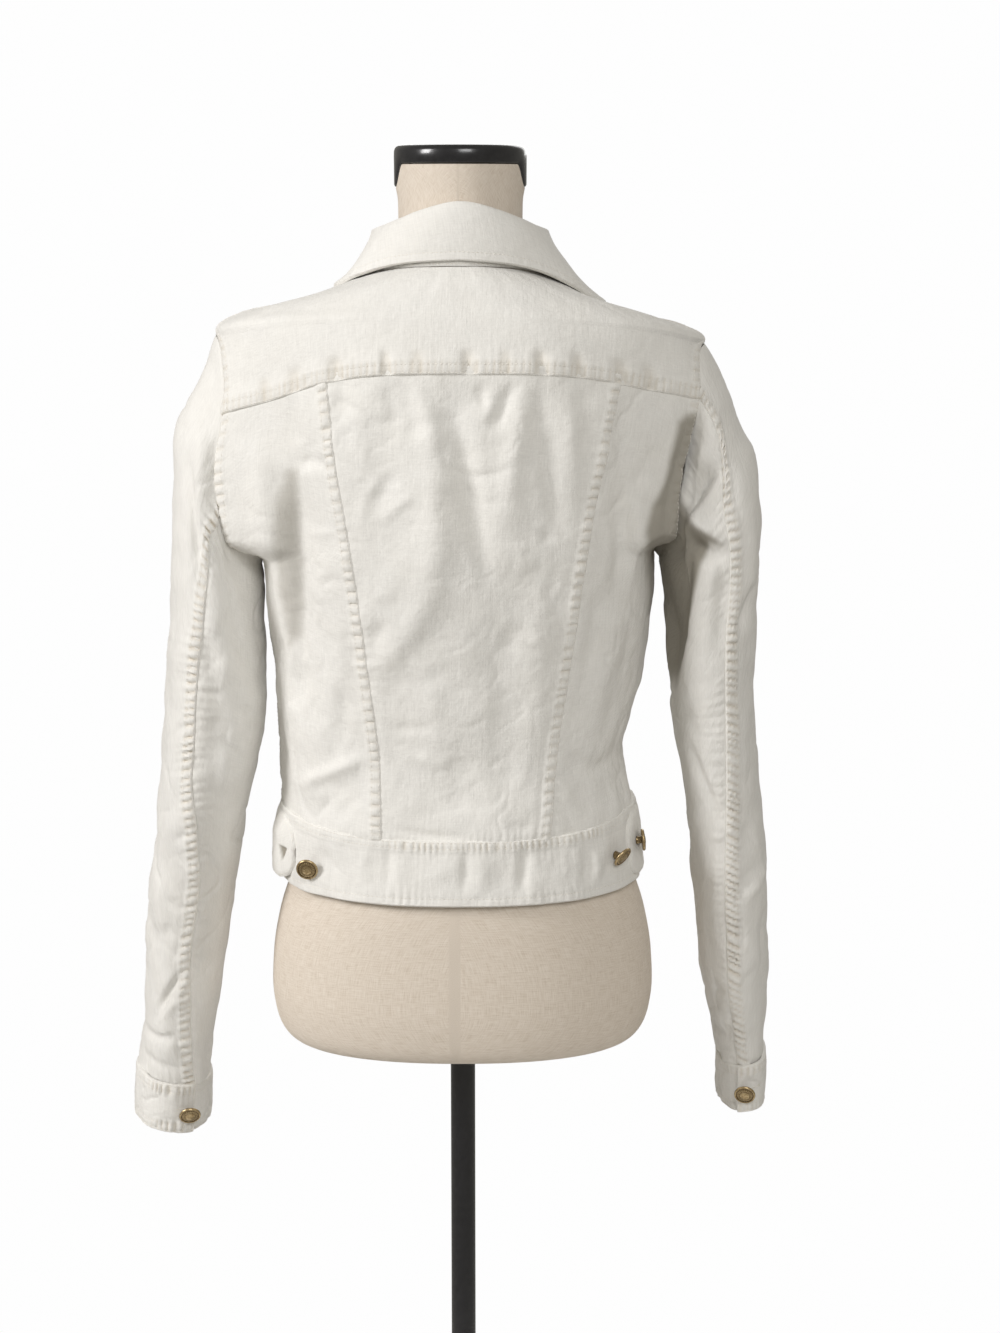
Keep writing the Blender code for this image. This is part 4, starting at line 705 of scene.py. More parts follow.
def armhole_curve(sign, face):
    """The armhole seam on one face, from the shoulder tip to the armpit, and its running length.
    It lies a gap beyond the edge of the panels, in their own surface."""
    levels = np.linspace(SHOULDER_TIP, ARMPIT, ARMHOLE_SAMPLES)
    edge = back_edge if face == "back" else front_edge
    angles = edge(np.minimum(levels, SHOULDER_TIP - 1e-9), sign)
    points = body(levels, angles)
    length = line_reach(points)
    beyond = np.cross(body_normal(levels, angles), np.gradient(points, axis=0))
    beyond = unit(beyond) * (sign if face == "back" else -sign)
    return points + beyond * ARMHOLE_GAP, length / length[-1]


def armhole_ring(sign, turn):
    """Points of the armhole seam by angle round the sleeve: 0 the shoulder tip, 90 the back,
    180 the armpit and 270 the front."""
    turn = np.mod(turn, 360.0)
    back, front = (at_reach(np.clip(part, 0, 1), length, curve) for part, (curve, length) in (
        (turn / 180.0, armhole_curve(sign, "back")),
        ((360.0 - turn) / 180.0, armhole_curve(sign, "front")),
    ))  # fmt: skip
    return np.where((turn <= 180.0)[..., None], back, front)


def armhole_like(get, sign, turn):
    """The armhole seam swung about the armpit until it spans a sleeve ring's two points."""
    seam = armhole_ring(sign, turn)
    ends = armhole_ring(sign, np.array([0.0, 180.0]))
    tip, pit = (complex(sign * end[0], end[2]) for end in ends)
    outer = complex(get["outer_x"], get["outer_z"])
    inner = complex(get["inner_x"], get["inner_z"])
    swing = (outer - inner) / (tip - pit)
    swung = inner + (sign * seam[..., 0] + 1j * seam[..., 2] - pit) * swing
    reach = np.where(seam[..., 1] < 0, -get["back"], get["front"]) / ARMHOLE_REACH
    return np.stack([sign * swung.real, seam[..., 1] * reach, swung.imag], axis=-1)


def ring_points(row, sign, turn):
    """Points of one sleeve ring by angle round it."""
    get = dict(zip(SLEEVE_COLUMNS, row))
    angle = np.radians(turn)
    out = signed_power(np.cos(angle), SLEEVE_POWER)
    back = signed_power(np.sin(angle), SLEEVE_POWER)
    middle_y = (get["back"] + get["front"]) / 2
    half_y = (get["front"] - get["back"]) / 2
    x = (get["outer_x"] + get["inner_x"]) / 2 + out * (get["outer_x"] - get["inner_x"]) / 2
    z = (get["outer_z"] + get["inner_z"]) / 2 + out * (get["outer_z"] - get["inner_z"]) / 2
    y = middle_y - back * half_y
    points = np.stack([sign * x, y, z], axis=-1)
    share = get["armhole_share"]
    if share:
        points = points * (1 - share) + armhole_like(get, sign, turn) * share
    return points


class Sleeve:
    """One sleeve's surface: ring 0 is the armhole seam and the last ring the cuff seam."""

    def __init__(self, sign, rows, creases, felled, slant, fold_fade):
        self.sign, self.rows, self.creases = sign, rows, creases
        self.felled, self.slant, self.fold_fade = felled, slant, fold_fade
        self.knots = np.arange(len(rows) + 1, dtype=float)

    def base(self, ring, turn):
        ring, turn = np.broadcast_arrays(np.asarray(ring, float), np.asarray(turn, float))
        stack = [armhole_ring(self.sign, turn)]
        stack += [ring_points(row, self.sign, turn) for row in self.rows]
        stack = np.stack(stack)
        at = np.clip(ring, 0, self.knots[-1])
        cell = np.clip(np.floor(at).astype(int), 0, len(self.rows) - 1)
        part = (at - cell)[..., None]

        def pick(offset):
            index = np.clip(cell + offset, 0, len(self.rows))
            return np.take_along_axis(stack, index[None, ..., None], axis=0)[0]

        before, here, after, beyond = pick(-1), pick(0), pick(1), pick(2)
        slope_here = (after - before) / 2
        slope_after = (beyond - here) / 2
        slope_here = np.where((cell == 0)[..., None], after - here, slope_here)
        slope_after = np.where((cell == len(self.rows) - 1)[..., None], after - here, slope_after)
        return hermite(part, here, slope_here, after, slope_after)

    def normal(self, ring, turn):
        step_ring, step_turn = 0.03, 1.5
        low = np.clip(np.asarray(ring, float) - step_ring, 0, self.knots[-1])
        high = np.clip(np.asarray(ring, float) + step_ring, 0, self.knots[-1])
        along = self.base(high, turn) - self.base(low, turn)
        around = self.base(ring, np.asarray(turn) + step_turn)
        around = around - self.base(ring, np.asarray(turn) - step_turn)
        found = np.cross(around, along) * self.sign
        # At the armhole the wall's end faces the body, so its thickness runs in the seam's plane.
        lean = ease_in_out(np.asarray(ring, float) / 0.9)
        found = unit(found)
        found[..., 0] *= np.broadcast_to(lean, found.shape[:-1])
        return unit(found)

    def column(self, name, ring):
        values = table_column(self.rows, SLEEVE_COLUMNS, name)
        return smooth_through(ring, self.knots, np.concatenate([values[:1], values]))

    def middle_y(self, ring):
        return (self.column("back", ring) + self.column("front", ring)) / 2


SLEEVES = {
    # sign, rings, creases, width of the felled rear seam, how far its puckers slant, and over what
    # distance from the armhole the folds grow
    "left": (-1, SLEEVE_LEFT, LEFT_CREASES, 0.0086, 0.25, 0.022),
    "right": (1, SLEEVE_RIGHT, RIGHT_CREASES, 0.0100, 0.55, 0.012),
}


# ---------------------------------------------------------------- cuffs
CUFF_LAP_TURN = 26.0
CUFF_LAP_LIFT = DOUBLE_CLOTH + 0.0004
CUFF_HEIGHT = 0.040
CUFFS = {
    # sign, rings and the turn where the lap starts
    "left": (-1, CUFF_RINGS_LEFT, 103.0),
    "right": (1, CUFF_RINGS_RIGHT, 79.0),
}


def cuff_points(side, share, turn, lift):
    """Points of a cuff's outer face, share 0 at the sleeve seam and 1 at the hem of the cuff."""
    sign, rings, start = CUFFS[side]
    low, high = ring_points(rings[1], sign, turn), ring_points(rings[0], sign, turn)
    points = high + (low - high) * np.asarray(share)[..., None]
    step = 2.0
    around = ring_points(rings[0], sign, turn + step) - ring_points(rings[0], sign, turn - step)
    normal = unit(np.cross(around, low - high) * sign)
    lap = CUFF_LAP_LIFT * ease_in_out((turn - start - 300.0) / 40.0)
    points = points + normal * (lift + lap)[..., None]
    return points, np.broadcast_to(normal, points.shape)


# ---------------------------------------------------------------- collar
STAND_CLOTH = 0.0022
FALL_CLOTH = 0.0024


def fold_line(angle):
    """The line round the neck along which the collar turns over."""
    turn = np.radians(angle)
    side, ahead = np.sin(turn), -np.cos(turn)
    x = FOLD_SIDE * side
    y = np.where(ahead > 0, FOLD_FRONT, FOLD_BACK) * ahead
    middle = np.where(ahead > 0, FOLD_Z_FRONT, FOLD_Z_BACK)
    sloped = np.hypot(side, FOLD_FLAT) - FOLD_FLAT
    z = middle + (FOLD_Z_SIDE - middle) * sloped / (math.hypot(1.0, FOLD_FLAT) - FOLD_FLAT)
    return np.stack([x, y, z], axis=-1)


def outward(angle):
    turn = np.radians(angle)
    flat = np.stack([np.sin(turn), -np.cos(turn), np.zeros(np.shape(turn))], axis=-1)
    return unit(flat)


def collar_edge(angle):
    """The outer edge of the turned-down collar."""
    size = np.abs(angle)
    get = {name: look_up(COLLAR, COLLAR_COLUMNS, "angle", name, size) for name in COLLAR_COLUMNS}
    level = np.where(angle < 0, get["edge_level_left"], get["edge_level_right"])
    # The free edge lies closer to the yoke than that of the solid.
    lift = np.maximum(get["lift"] - 0.0018, 0.0037)
    return body(level, np.sign(angle) * get["edge_angle"], lift, folded=False)


def collar_fall(share, angle, lift=0.0):
    """Points of the turned-down collar, share 0 at the fold and 1 at the outer edge."""
    start, end = fold_line(angle), collar_edge(angle)
    roll = look_up(COLLAR, COLLAR_COLUMNS, "angle", "roll", np.abs(angle))
    drop = look_up(COLLAR, COLLAR_COLUMNS, "angle", "drop", np.abs(angle))
    bend = start + outward(angle) * roll[..., None] - drop[..., None] * np.array([0, 0, 1.0])
    rest = 1 - share
    points = rest**2 * start + 2 * rest * share * bend + share**2 * end
    along = 2 * rest * (bend - start) + 2 * share * (end - bend)
    step = 1.0
    around = fold_line(angle + step) - fold_line(angle - step)
    around = around * rest + (collar_edge(angle + step) - collar_edge(angle - step)) * share
    normal = unit(np.cross(along, around))
    return points + normal * lift


FRONT_BUTTON_LEVELS = (1.55, 3.0, 4.9, 7.2, 9.6)
TAB_BUTTONS = (
    # name, level, angle, lift of the cloth that it stands on
    ("tab_button_left_rear", 0.38, -50.5, BAND_LIFT),
    ("tab_button_right_rear", 0.50, 57.0, BAND_LIFT),
    ("tab_button_right_side", 0.55, 73.0, TAB_CLEAR + 0.0010 + TAB_CLOTH),
)


# ---------------------------------------------------------------- materials
def new_material(name, values):
    made = bpy.data.materials.new(name)
    made.use_nodes = True
    shader = made.node_tree.nodes["Principled BSDF"]
    for label, value in values.items():
        shader.inputs[label].default_value = value
    return made, made.node_tree, shader


def node(tree, kind, **settings):
    made = tree.nodes.new(kind)
    for name, value in settings.items():
        if name in made.inputs:
            made.inputs[name].default_value = value
        else:
            setattr(made, name, value)
    return made


def put(tree, socket, value):
    """Links a socket to a value that is a socket, or sets it."""
    if isinstance(value, bpy.types.NodeSocket):
        tree.links.new(value, socket)
    else:
        socket.default_value = value


def scaled_uv(tree, scale, turn=0.0):
    place = node(tree, "ShaderNodeTexCoord")
    move = node(tree, "ShaderNodeMapping", Scale=scale, Rotation=(0, 0, turn))
    tree.links.new(place.outputs["UV"], move.inputs["Vector"])
    return move.outputs["Vector"]


def object_place(tree):
    return node(tree, "ShaderNodeTexCoord").outputs["Object"]


def noise(tree, vector, scale, detail=2.0, roughness=0.5):
    made = node(tree, "ShaderNodeTexNoise", Scale=scale, Detail=detail, Roughness=roughness)
    tree.links.new(vector, made.inputs["Vector"])
    return made.outputs["Fac"]


def bands(tree, axis, vector, distortion, **settings):
    made = node(tree, "ShaderNodeTexWave", wave_type="BANDS", bands_direction=axis, Scale=1.0,
                Distortion=distortion, **settings)  # fmt: skip
    tree.links.new(vector, made.inputs["Vector"])
    return made.outputs["Fac"]


def ramp(tree, value, *stops):
    made = node(tree, "ShaderNodeValToRGB")
    elements = made.color_ramp.elements
    while len(elements) < len(stops):
        elements.new(0.5)
    for element, (at, colour) in zip(elements, stops):
        element.position = at
        element.color = colour
    tree.links.new(value, made.inputs["Fac"])
    return made.outputs["Color"]


def mix(tree, share, first, second):
    made = node(tree, "ShaderNodeMix", data_type="RGBA", blend_type="MIX")
    for socket, value in zip((made.inputs["Factor"], made.inputs[6], made.inputs[7]), (share, first, second)):
        put(tree, socket, value)
    return made.outputs[2]


def maths(tree, kind, first, second):
    made = node(tree, "ShaderNodeMath", operation=kind)
    put(tree, made.inputs[0], first)
    put(tree, made.inputs[1], second)
    return made.outputs[0]


def bumps(tree, *layers):
    """Bumps on top of each other, each a height, its distance and its strength."""
    normal = None
    for height, distance, strength in layers:
        made = node(tree, "ShaderNodeBump", Distance=distance, Strength=strength)
        tree.links.new(height, made.inputs["Height"])
        if normal is not None:
            tree.links.new(normal, made.inputs["Normal"])
        normal = made.outputs["Normal"]
    return normal


def point_value(tree, name):
    found = node(tree, "ShaderNodeAttribute", attribute_type="GEOMETRY", attribute_name=name)
    return found.outputs["Fac"]


def feed(tree, shader, colour, normal):
    tree.links.new(colour, shader.inputs["Base Color"])
    tree.links.new(normal, shader.inputs["Normal"])


def tinted(colour, *gains):
    """An opaque colour times one gain, or one for each of red, green and blue."""
    return tuple(min(1.0, c * k) for c, k in zip(colour, gains * (3 // len(gains)))) + (1,)


def denim_material():
    """White cotton twill: diagonal wales, slubs along the warp and soft dents."""
    made, tree, shader = new_material("white_denim_twill", {
        "Roughness": 0.86, "Metallic": 0.0, "Sheen Weight": 0.12, "Sheen Roughness": 0.45,
        "Specular IOR Level": 0.25})  # fmt: skip
    metres = scaled_uv(tree, (1, 1, 1))
    slubs = noise(tree, scaled_uv(tree, (900, 70, 1)), 1.0, 3.0, 0.6)
    cross = noise(tree, scaled_uv(tree, (110, 1000, 1)), 1.0, 2.0, 0.6)
    threads = mix(tree, 0.4, slubs, cross)
    cloud = maths(tree, "MULTIPLY", noise(tree, metres, 26.0), 0.35)
    colour = ramp(tree, threads, (0.32, tinted(DENIM_WHITE, 0.92)), (0.68, tinted(DENIM_WHITE, 1.06)))
    colour = mix(tree, cloud, colour, tinted(DENIM_WHITE, 0.985, 0.962, 0.915))
    # Painted shade in the seam valleys and dents, then painted deep shadow in the hollows.
    colour = mix(tree, point_value(tree, "shade"), colour, SHADED_WHITE)
    colour = mix(tree, point_value(tree, "deep"), colour, PAINTED_SHADOW_WHITE)
    twill = scaled_uv(tree, (340, 340, 1), math.radians(-58))
    wales = bands(tree, "X", twill, 1.2, **{"Detail": 1.0, "Detail Scale": 2.0})
    feed(tree, shader, colour, bumps(
        tree,
        (wales, 0.00012, 0.55),
        (threads, 0.00045, 0.80),
        (noise(tree, metres, 210.0, 2.0, 0.55), 0.0009, 0.42),
        (noise(tree, metres, 80.0, 3.0, 0.6), 0.0022, 0.30),
        (noise(tree, scaled_uv(tree, (230, 18, 1)), 1.0), 0.0007, 0.35),
    ))  # fmt: skip
    return made


def thread_material():
    made, tree, shader = new_material("topstitch_thread", {"Roughness": 0.55, "Metallic": 0.0})
    tint = noise(tree, object_place(tree), 600.0)
    colour = ramp(tree, tint, (0.3, (0.80, 0.765, 0.70, 1)), (0.7, (0.90, 0.875, 0.82, 1)))
    feed(tree, shader, colour, bumps(tree, (tint, 0.0001, 0.5)))
    return made


def linen_material():
    """Plain woven linen, unprinted, with thick and thin yarns."""
    made, tree, shader = new_material("plain_linen", {
        "Roughness": 0.88, "Metallic": 0.0, "Sheen Weight": 0.08, "Specular IOR Level": 0.25})  # fmt: skip
    weft = noise(tree, scaled_uv(tree, (90, 1500, 1)), 1.0, 3.0, 0.65)
    warp = noise(tree, scaled_uv(tree, (1500, 90, 1)), 1.0, 3.0, 0.65)
    yarns = mix(tree, 0.5, weft, warp)
    cloud = maths(tree, "MULTIPLY", noise(tree, scaled_uv(tree, (1, 1, 1)), 16.0, 3.0), 0.18)
    colour = ramp(tree, yarns, (0.36, (0.66, 0.565, 0.46, 1)), (0.5, (0.79, 0.705, 0.605, 1)),
                  (0.64, (0.875, 0.80, 0.71, 1)))  # fmt: skip
    colour = mix(tree, cloud, colour, (0.74, 0.64, 0.53, 1))
    checks = [bands(tree, axis, scaled_uv(tree, (480, 480, 1)), 0.8) for axis in "XY"]
    weave = maths(tree, "MAXIMUM", *checks)
    feed(tree, shader, colour, bumps(tree, (weave, 0.00018, 0.5), (yarns, 0.0004, 0.6)))
    return made


def brass_material():
    """Antique brass: bright on the high places, brown in the hollows."""
    made, tree, shader = new_material("antique_brass_worn", {"Roughness": 0.3, "Metallic": 1.0})
    wear = noise(tree, object_place(tree), 700.0, 3.0)
    colour = ramp(tree, wear, (0.3, (0.36, 0.255, 0.125, 1)), (0.7, (0.66, 0.52, 0.31, 1)))
    colour = mix(tree, point_value(tree, "shade"), colour, (0.07, 0.045, 0.025, 1))
    rough_range = ramp(tree, wear, (0.3, (0.42, 0.42, 0.42, 1)), (0.7, (0.24, 0.24, 0.24, 1)))
    tree.links.new(rough_range, shader.inputs["Roughness"])
    feed(tree, shader, colour, bumps(tree, (wear, 0.0001, 0.35)))
    return made


def enamel_material():
    made, tree, shader = new_material("black_enamel_gloss", {
        "Roughness": 0.25, "Metallic": 0.0, "Coat Weight": 0.4, "Coat Roughness": 0.12})  # fmt: skip
    peel = noise(tree, object_place(tree), 260.0)
    colour = ramp(tree, peel, (0.3, (0.006, 0.006, 0.008, 1)), (0.7, (0.013, 0.013, 0.015, 1)))
    feed(tree, shader, colour, bumps(tree, (peel, 0.0004, 0.15)))
    return made


DENIM_WHITE = (0.845, 0.835, 0.805)
# Colours of the painted shade in seam valleys and dents, and of the painted deep shadow.
SHADED_WHITE = (0.66, 0.60, 0.50, 1)
PAINTED_SHADOW_WHITE = (0.33, 0.305, 0.255, 1)
DENIM = denim_material()
THREAD = thread_material()
LINEN_CLOTH = linen_material()
OLD_BRASS = brass_material()
BLACK = enamel_material()


# ---------------------------------------------------------------- meshes
def mesh_object(name, vertices, quads, triangles, finish, slot, uv=None, sharp=50.0, **values):
    """A piece from its points and faces, with UVs in metres and named values at its points."""
    loops = np.concatenate([np.ravel(quads), np.ravel(triangles)]).astype(np.int32)
    starts = np.concatenate(
        [np.arange(len(quads)) * 4, len(quads) * 4 + np.arange(len(triangles)) * 3]
    ).astype(np.int32)
    mesh = bpy.data.meshes.new(name)
    mesh.vertices.add(len(vertices))
    mesh.vertices.foreach_set("co", np.ravel(vertices).astype(np.float32))
    mesh.loops.add(len(loops))
    mesh.loops.foreach_set("vertex_index", loops)
    mesh.polygons.add(len(starts))
    mesh.polygons.foreach_set("loop_start", starts)
    mesh.update(calc_edges=True)
    if uv is not None:
        layer = mesh.uv_layers.new(name="metres")
        layer.data.foreach_set("uv", np.ravel(uv[loops]).astype(np.float32))
    for label, value in values.items():
        layer = mesh.attributes.new(label, "FLOAT", "POINT")
        layer.data.foreach_set("value", np.ravel(value).astype(np.float32))
    mesh.validate()
    mesh.materials.append(finish)
    mesh.shade_smooth()
    if sharp:
        mesh.set_sharp_from_angle(angle=math.radians(sharp))
    item = bpy.data.objects.new(name, mesh)
    bpy.context.scene.collection.objects.link(item)
    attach(item, "root")
    return item


def grid_quads(rows, columns, start=0, closed=False):
    i, j = np.meshgrid(np.arange(rows - 1), np.arange(columns - (0 if closed else 1)), indexing="ij")
    k = (j + 1) % columns
    quads = np.stack([i * columns + j, i * columns + k, (i + 1) * columns + k,
                      (i + 1) * columns + j], axis=-1)  # fmt: skip
    return quads.reshape(-1, 4) + start


def end_caps(low, high, sides, count):
    """Fans of triangles from two rings of a closed wall to the two points after them."""
    here = np.arange(sides)
    after = (here + 1) % sides
    low_point, high_point = np.full(sides, count), np.full(sides, count + 1)
    return np.concatenate([
        np.stack([low + after, low + here, low_point], axis=1),
        np.stack([high + here, high + after, high_point], axis=1),
    ])  # fmt: skip


def border(rows, columns):
    grid = np.arange(rows * columns).reshape(rows, columns)
    return np.concatenate([grid[0, :-1], grid[:-1, -1], grid[-1, :0:-1], grid[:0:-1, 0], grid[0, :1]])


def shell(name, outer, inner, uv, **values):
    """A closed cloth wall: a fine outer face and an inner face of every second point."""
    rows, columns = outer.shape[:2]
    low_rows, low_columns = (rows + 1) // 2, (columns + 1) // 2
    count = rows * columns
    vertices = np.concatenate([outer.reshape(-1, 3), inner[::2, ::2].reshape(-1, 3)])
    back = grid_quads(low_rows, low_columns, count)[:, ::-1]
    quads = np.concatenate([grid_quads(rows, columns), back])
    fine, wide = border(rows, columns), border(low_rows, low_columns) + count
    rim = np.concatenate([
        np.stack([fine[1::2], fine[0:-1:2], wide[:-1]], axis=1),
        np.stack([fine[1::2], wide[:-1], wide[1:]], axis=1),
        np.stack([fine[2::2], fine[1::2], wide[1:]], axis=1),
    ])  # fmt: skip
    across, up = outer[:, 1:] - outer[:, :-1], outer[1:] - outer[:-1]
    facing = np.cross(across[:-1], up[:, :-1])
    if np.sum(facing * (outer - inner)[:-1, :-1]) < 0:
        quads, rim = quads[:, ::-1], rim[:, ::-1]
    uv = np.concatenate([uv.reshape(-1, 2), uv[::2, ::2].reshape(-1, 2)])
    values = {label: np.append(value, 0 * value[::2, ::2]) for label, value in values.items()}
    return mesh_object(name, vertices, quads, rim, DENIM, "white_denim", uv, **values)


# ---------------------------------------------------------------- cloth patches
# Where the first rows of points lie beside an edge, and how an edge's lap, roll and sewn grooves are
# shaped.
EDGE_PLACES = (0.0, 0.0005, 0.0011, 0.0018, 0.0027, 0.0037, 0.0048, 0.0060, 0.0073, 0.0088)
LAP_END = 0.0035
ROLL_REACH = 0.0005
GROOVE_DEPTH = 0.00042
GROOVE_REACH = 0.0008
RUNG_SHADE = 0.42
BODY_DENT_RADIUS = 0.15
SLEEVE_DENT_RADIUS = 0.040

# Topstitching: pitch and length of a stitch, its thread, and the share, height and size of the
# three rings that make it. A buttonhole has shorter stitches.
STITCH = 0.0027
STITCH_PITCH = 0.0033
STITCH_START = 0.0008
THREAD_RADIUS = 0.00027
THREAD_SIDES = 5
STITCH_SHAPE = ((0.0, -0.6, 0.6), (0.5, 0.45, 1.0), (1.0, -0.6, 0.6))
HOLE_PITCH = 0.00062
HOLE_STITCH = 0.0019
HOLE_STITCH_END = 0.0023
STITCHES = []

# Distances of the rows of stitches from the edges that they are sewn along.
YOKE_LINES = (0.0017, 0.0078)
ARMHOLE_LINES = (0.0017, 0.0080)
PRINCESS_LINES = (0.0012, 0.0068)
PLACKET_LINES = (0.0018, 0.0075)
BAND_LINES = (0.0014, 0.0058)
HEM_LINE = 0.0062
TAB_LINE = 0.0022
SLEEVE_LINES = (0.0014, 0.0074)
CUFF_HEM_LINES = (0.0020, 0.0075)
CUFF_TOP_LINES = (0.0016, 0.0066)
CUFF_END_LINES = (0.0018,)
STAND_LINE = 0.0020
FALL_LINE = 0.0065
# Panels whose lower edge goes under the waistband.
UNDER_BAND = {"lap": -0.0006, "width": 0.008, "pucker": (0.0055, 0.0004, 0.007)}
# Degrees that the upper sleeve laps over the under sleeve, and the depth of the tabs' slits.
SLEEVE_LAP = 0.8
SLIT_DEPTH = 0.0016


def edge_places(length):
    return np.array([place for place in EDGE_PLACES if place < length * 0.32])


def spaced(length, step):
    """Places from 0 to length, an even number of cells, closer together towards both ends."""
    ends = edge_places(length)
    middle = length - 2 * ends[-1]
    count = max(2, int(math.ceil(middle / step)))
    count += count % 2
    inner = ends[-1] + middle * np.arange(1, count) / count
    return np.concatenate([ends, inner, length - ends[::-1]])


class Patch:
    """A piece of cloth as a grid of base points, their normals and the height above them."""

    def __init__(self, name, base, normal, cloth, seed, creases=(), lift=0.0):
        self.name, self.base, self.normal = name, base, normal
        self.cloth, self.seed = cloth, seed
        self.across, self.up = across, up = running(base, 1), running(base, 0)
        self.near = {"first": across, "last": across[:, -1:] - across, "low": up, "high": up[-1:] - up}
        self.along = {"first": up[:, :1], "last": up[:, -1:], "low": across[:1], "high": across[-1:]}
        # Neighbouring pieces share these places, so the cloth's dents run on across a seam.
        self.place = (across, up)
        self.height = lift + crease_height(creases, base[..., 0], base[..., 2], base[..., 1] < 0)
        self.shade, self.deep = np.zeros(across.shape), np.zeros(across.shape)
        self.gain, self.sewn, self.slant, self.rung_painted_shade = 1.0, 1.0, 0.0, RUNG_SHADE
        # Painted deep shadow over the hollows listed for this piece.
        for piece, soft, amount, outline in PAINTED_SHADOW_HOLLOWS:
            if piece == name:
                within = inside_outline(outline, base[..., 0], base[..., 2], soft)
                self.deep = np.maximum(self.deep, amount * within)

    def unevenness(self, *waves):
        """Soft dents of a size and height each, taller than wide where a third value says so."""
        for scale, amount, *tall in waves:
            u, v = self.place[0] / scale, self.place[1] / (tall[0] if tall else scale)
            turn = 0.25 if tall else 40.0 * scale
            turned_u = u * math.cos(turn) + v * math.sin(turn)
            turned_v = v * math.cos(turn) - u * math.sin(turn)
            self.height += self.gain * amount * rough(turned_u, turned_v, int(scale * 1e4))

    def crumple(self, scale, amount):
        """Thin wandering creases, in patches."""
        u, v = self.place[0] / scale, self.place[1] / scale
        seed = int(scale * 1e4) + 5000
        line = rough(0.8 * u + 0.6 * v, 0.8 * v - 0.6 * u, seed)
        line = line + 0.35 * rough(2.3 * u, 2.3 * v, seed + 1)
        patchy = ease_in_out(0.35 + 0.9 * rough(u / 2.2, v / 2.2, seed + 2))
        self.height -= self.gain * amount * patchy * bell(line / 0.20)

    def wobble(self, side, period, seed):
        """Distance to the nearest of the valleys along an edge, in periods, and their strength."""
        along = self.along[side] - self.slant * self.near[side]
        along = along + 0.45 * period * wander(along / (2.3 * period), seed)
        cell = along / period
        return np.abs(cell - np.round(cell)), 0.9 + 0.3 * wander(along / (2.9 * period), seed + 1)

    def edge(self, side, lap=0.0, width=0.0075, ladder=None, pucker=None, lines=(), roll=0.6):
        """Shapes the cloth beside one edge: lifted where it laps over its neighbour, sewn down
        along the lines, with pillows between them and puckers that run out into the cloth."""
        near = self.near[side]
        self.seed += 7
        if lap > 0:
            self.height += lap * (1 - ease_in_out((near - width) / LAP_END))
        elif lap < 0:
            self.height += lap * (1 - ease_in_out(near / width))
        self.height -= roll * self.cloth * bell(near / ROLL_REACH)
        for line in lines:
            self.height -= GROOVE_DEPTH * bell((near - line) / GROOVE_REACH)
        if ladder:
            period, amount = ladder
            away, strength = self.wobble(side, period, self.seed)
            strength = strength * self.sewn
            window = ease_in_out(near / 0.0016) * ease_in_out((width + 0.0022 - near) / 0.0030)
            valley = bell(away / 0.17)
            self.height += amount * strength * window * (0.45 - valley)
            # Painted shade darkens the valleys between the pillows.
            self.shade += self.rung_painted_shade * strength * window * valley
        if pucker:
            period, amount, reach = pucker
            away, strength = self.wobble(side, period, self.seed)
            strength = np.clip(2.6 * strength - 1.5, 0, 1.4) * self.sewn
            self.seed += 1
            reach = reach * (0.7 + 0.5 * wander(self.along[side] / (3.1 * period), self.seed))
            window = ease_in_out((near - 0.001) / 0.002)
            fall = np.exp(-(np.maximum(near - width, 0) / np.maximum(reach, 0.002)))
            self.height -= amount * strength * window * fall * (bell(away / 0.22) - 0.35)

    def outer(self):
        return self.base + self.normal * self.height[..., None]

    def sew(self, sides, offsets, start=0.0, stop=0.0):
        """Rows of stitches at offsets from some edges, from start to stop short of their ends."""
        for side in sides:
            points, near, normal = self.outer(), self.near[side], self.normal
            if side in ("low", "high"):
                points, near, normal = points.transpose(1, 0, 2), near.T, normal.transpose(1, 0, 2)
            if side in ("last", "high"):
                points, near, normal = points[:, ::-1], near[:, ::-1], normal[:, ::-1]
            for offset in offsets:
                rows = [row for row in zip(points, near, normal) if row[1][-1] >= offset]
                if len(rows) > 2:
                    line = np.array([at_reach(offset, reach, place) for place, reach, _ in rows])
                    out = np.array([at_reach(offset, reach, face) for _, reach, face in rows])
                    add_stitches(line, unit(out), start, stop)

    def make(self, *rests_on, held="hung"):
        edge = np.minimum(np.minimum(self.near["first"], self.near["last"]),
                          np.minimum(self.near["low"], self.near["high"]))  # fmt: skip
        inner = self.base + self.normal * (self.height - self.cloth)[..., None]
        inner = inner + self.normal * (0.35 * self.cloth * bell(edge / 0.0006))[..., None]
        uv = np.stack([self.across - self.across[:, -1:] / 2, self.up], axis=-1)
        shade = np.clip(self.shade, 0, 1)
        item = shell("cloth_" + self.name, self.outer(), inner, uv, shade=shade, deep=self.deep)
        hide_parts(self.name)


def add_stitches(line, out, start=0.0, stop=0.0, pitch=STITCH_PITCH, length=STITCH):
    """Stitches along a line, each a short thread with its ends in the cloth."""
    reach = line_reach(line)
    begins = np.arange(start + STITCH_START, reach[-1] - stop - length, pitch)
    if not begins.size:
        return
    rows = []
    for share, drop, size in STITCH_SHAPE:
        at = begins + share * length
        normal = unit(at_reach(at, reach, out))
        place = at_reach(at, reach, line) + normal * drop * THREAD_RADIUS
        rows.append((place, normal, size * THREAD_RADIUS))
    heading = unit(rows[-1][0] - rows[0][0])
    rings = []
    for place, normal, size in rows:
        across = np.cross(heading, normal)
        for turn in full_turn(THREAD_SIDES):
            rings.append(place + size * (normal * math.cos(turn) + across * math.sin(turn)))
    STITCHES.append(np.stack(rings, axis=1))


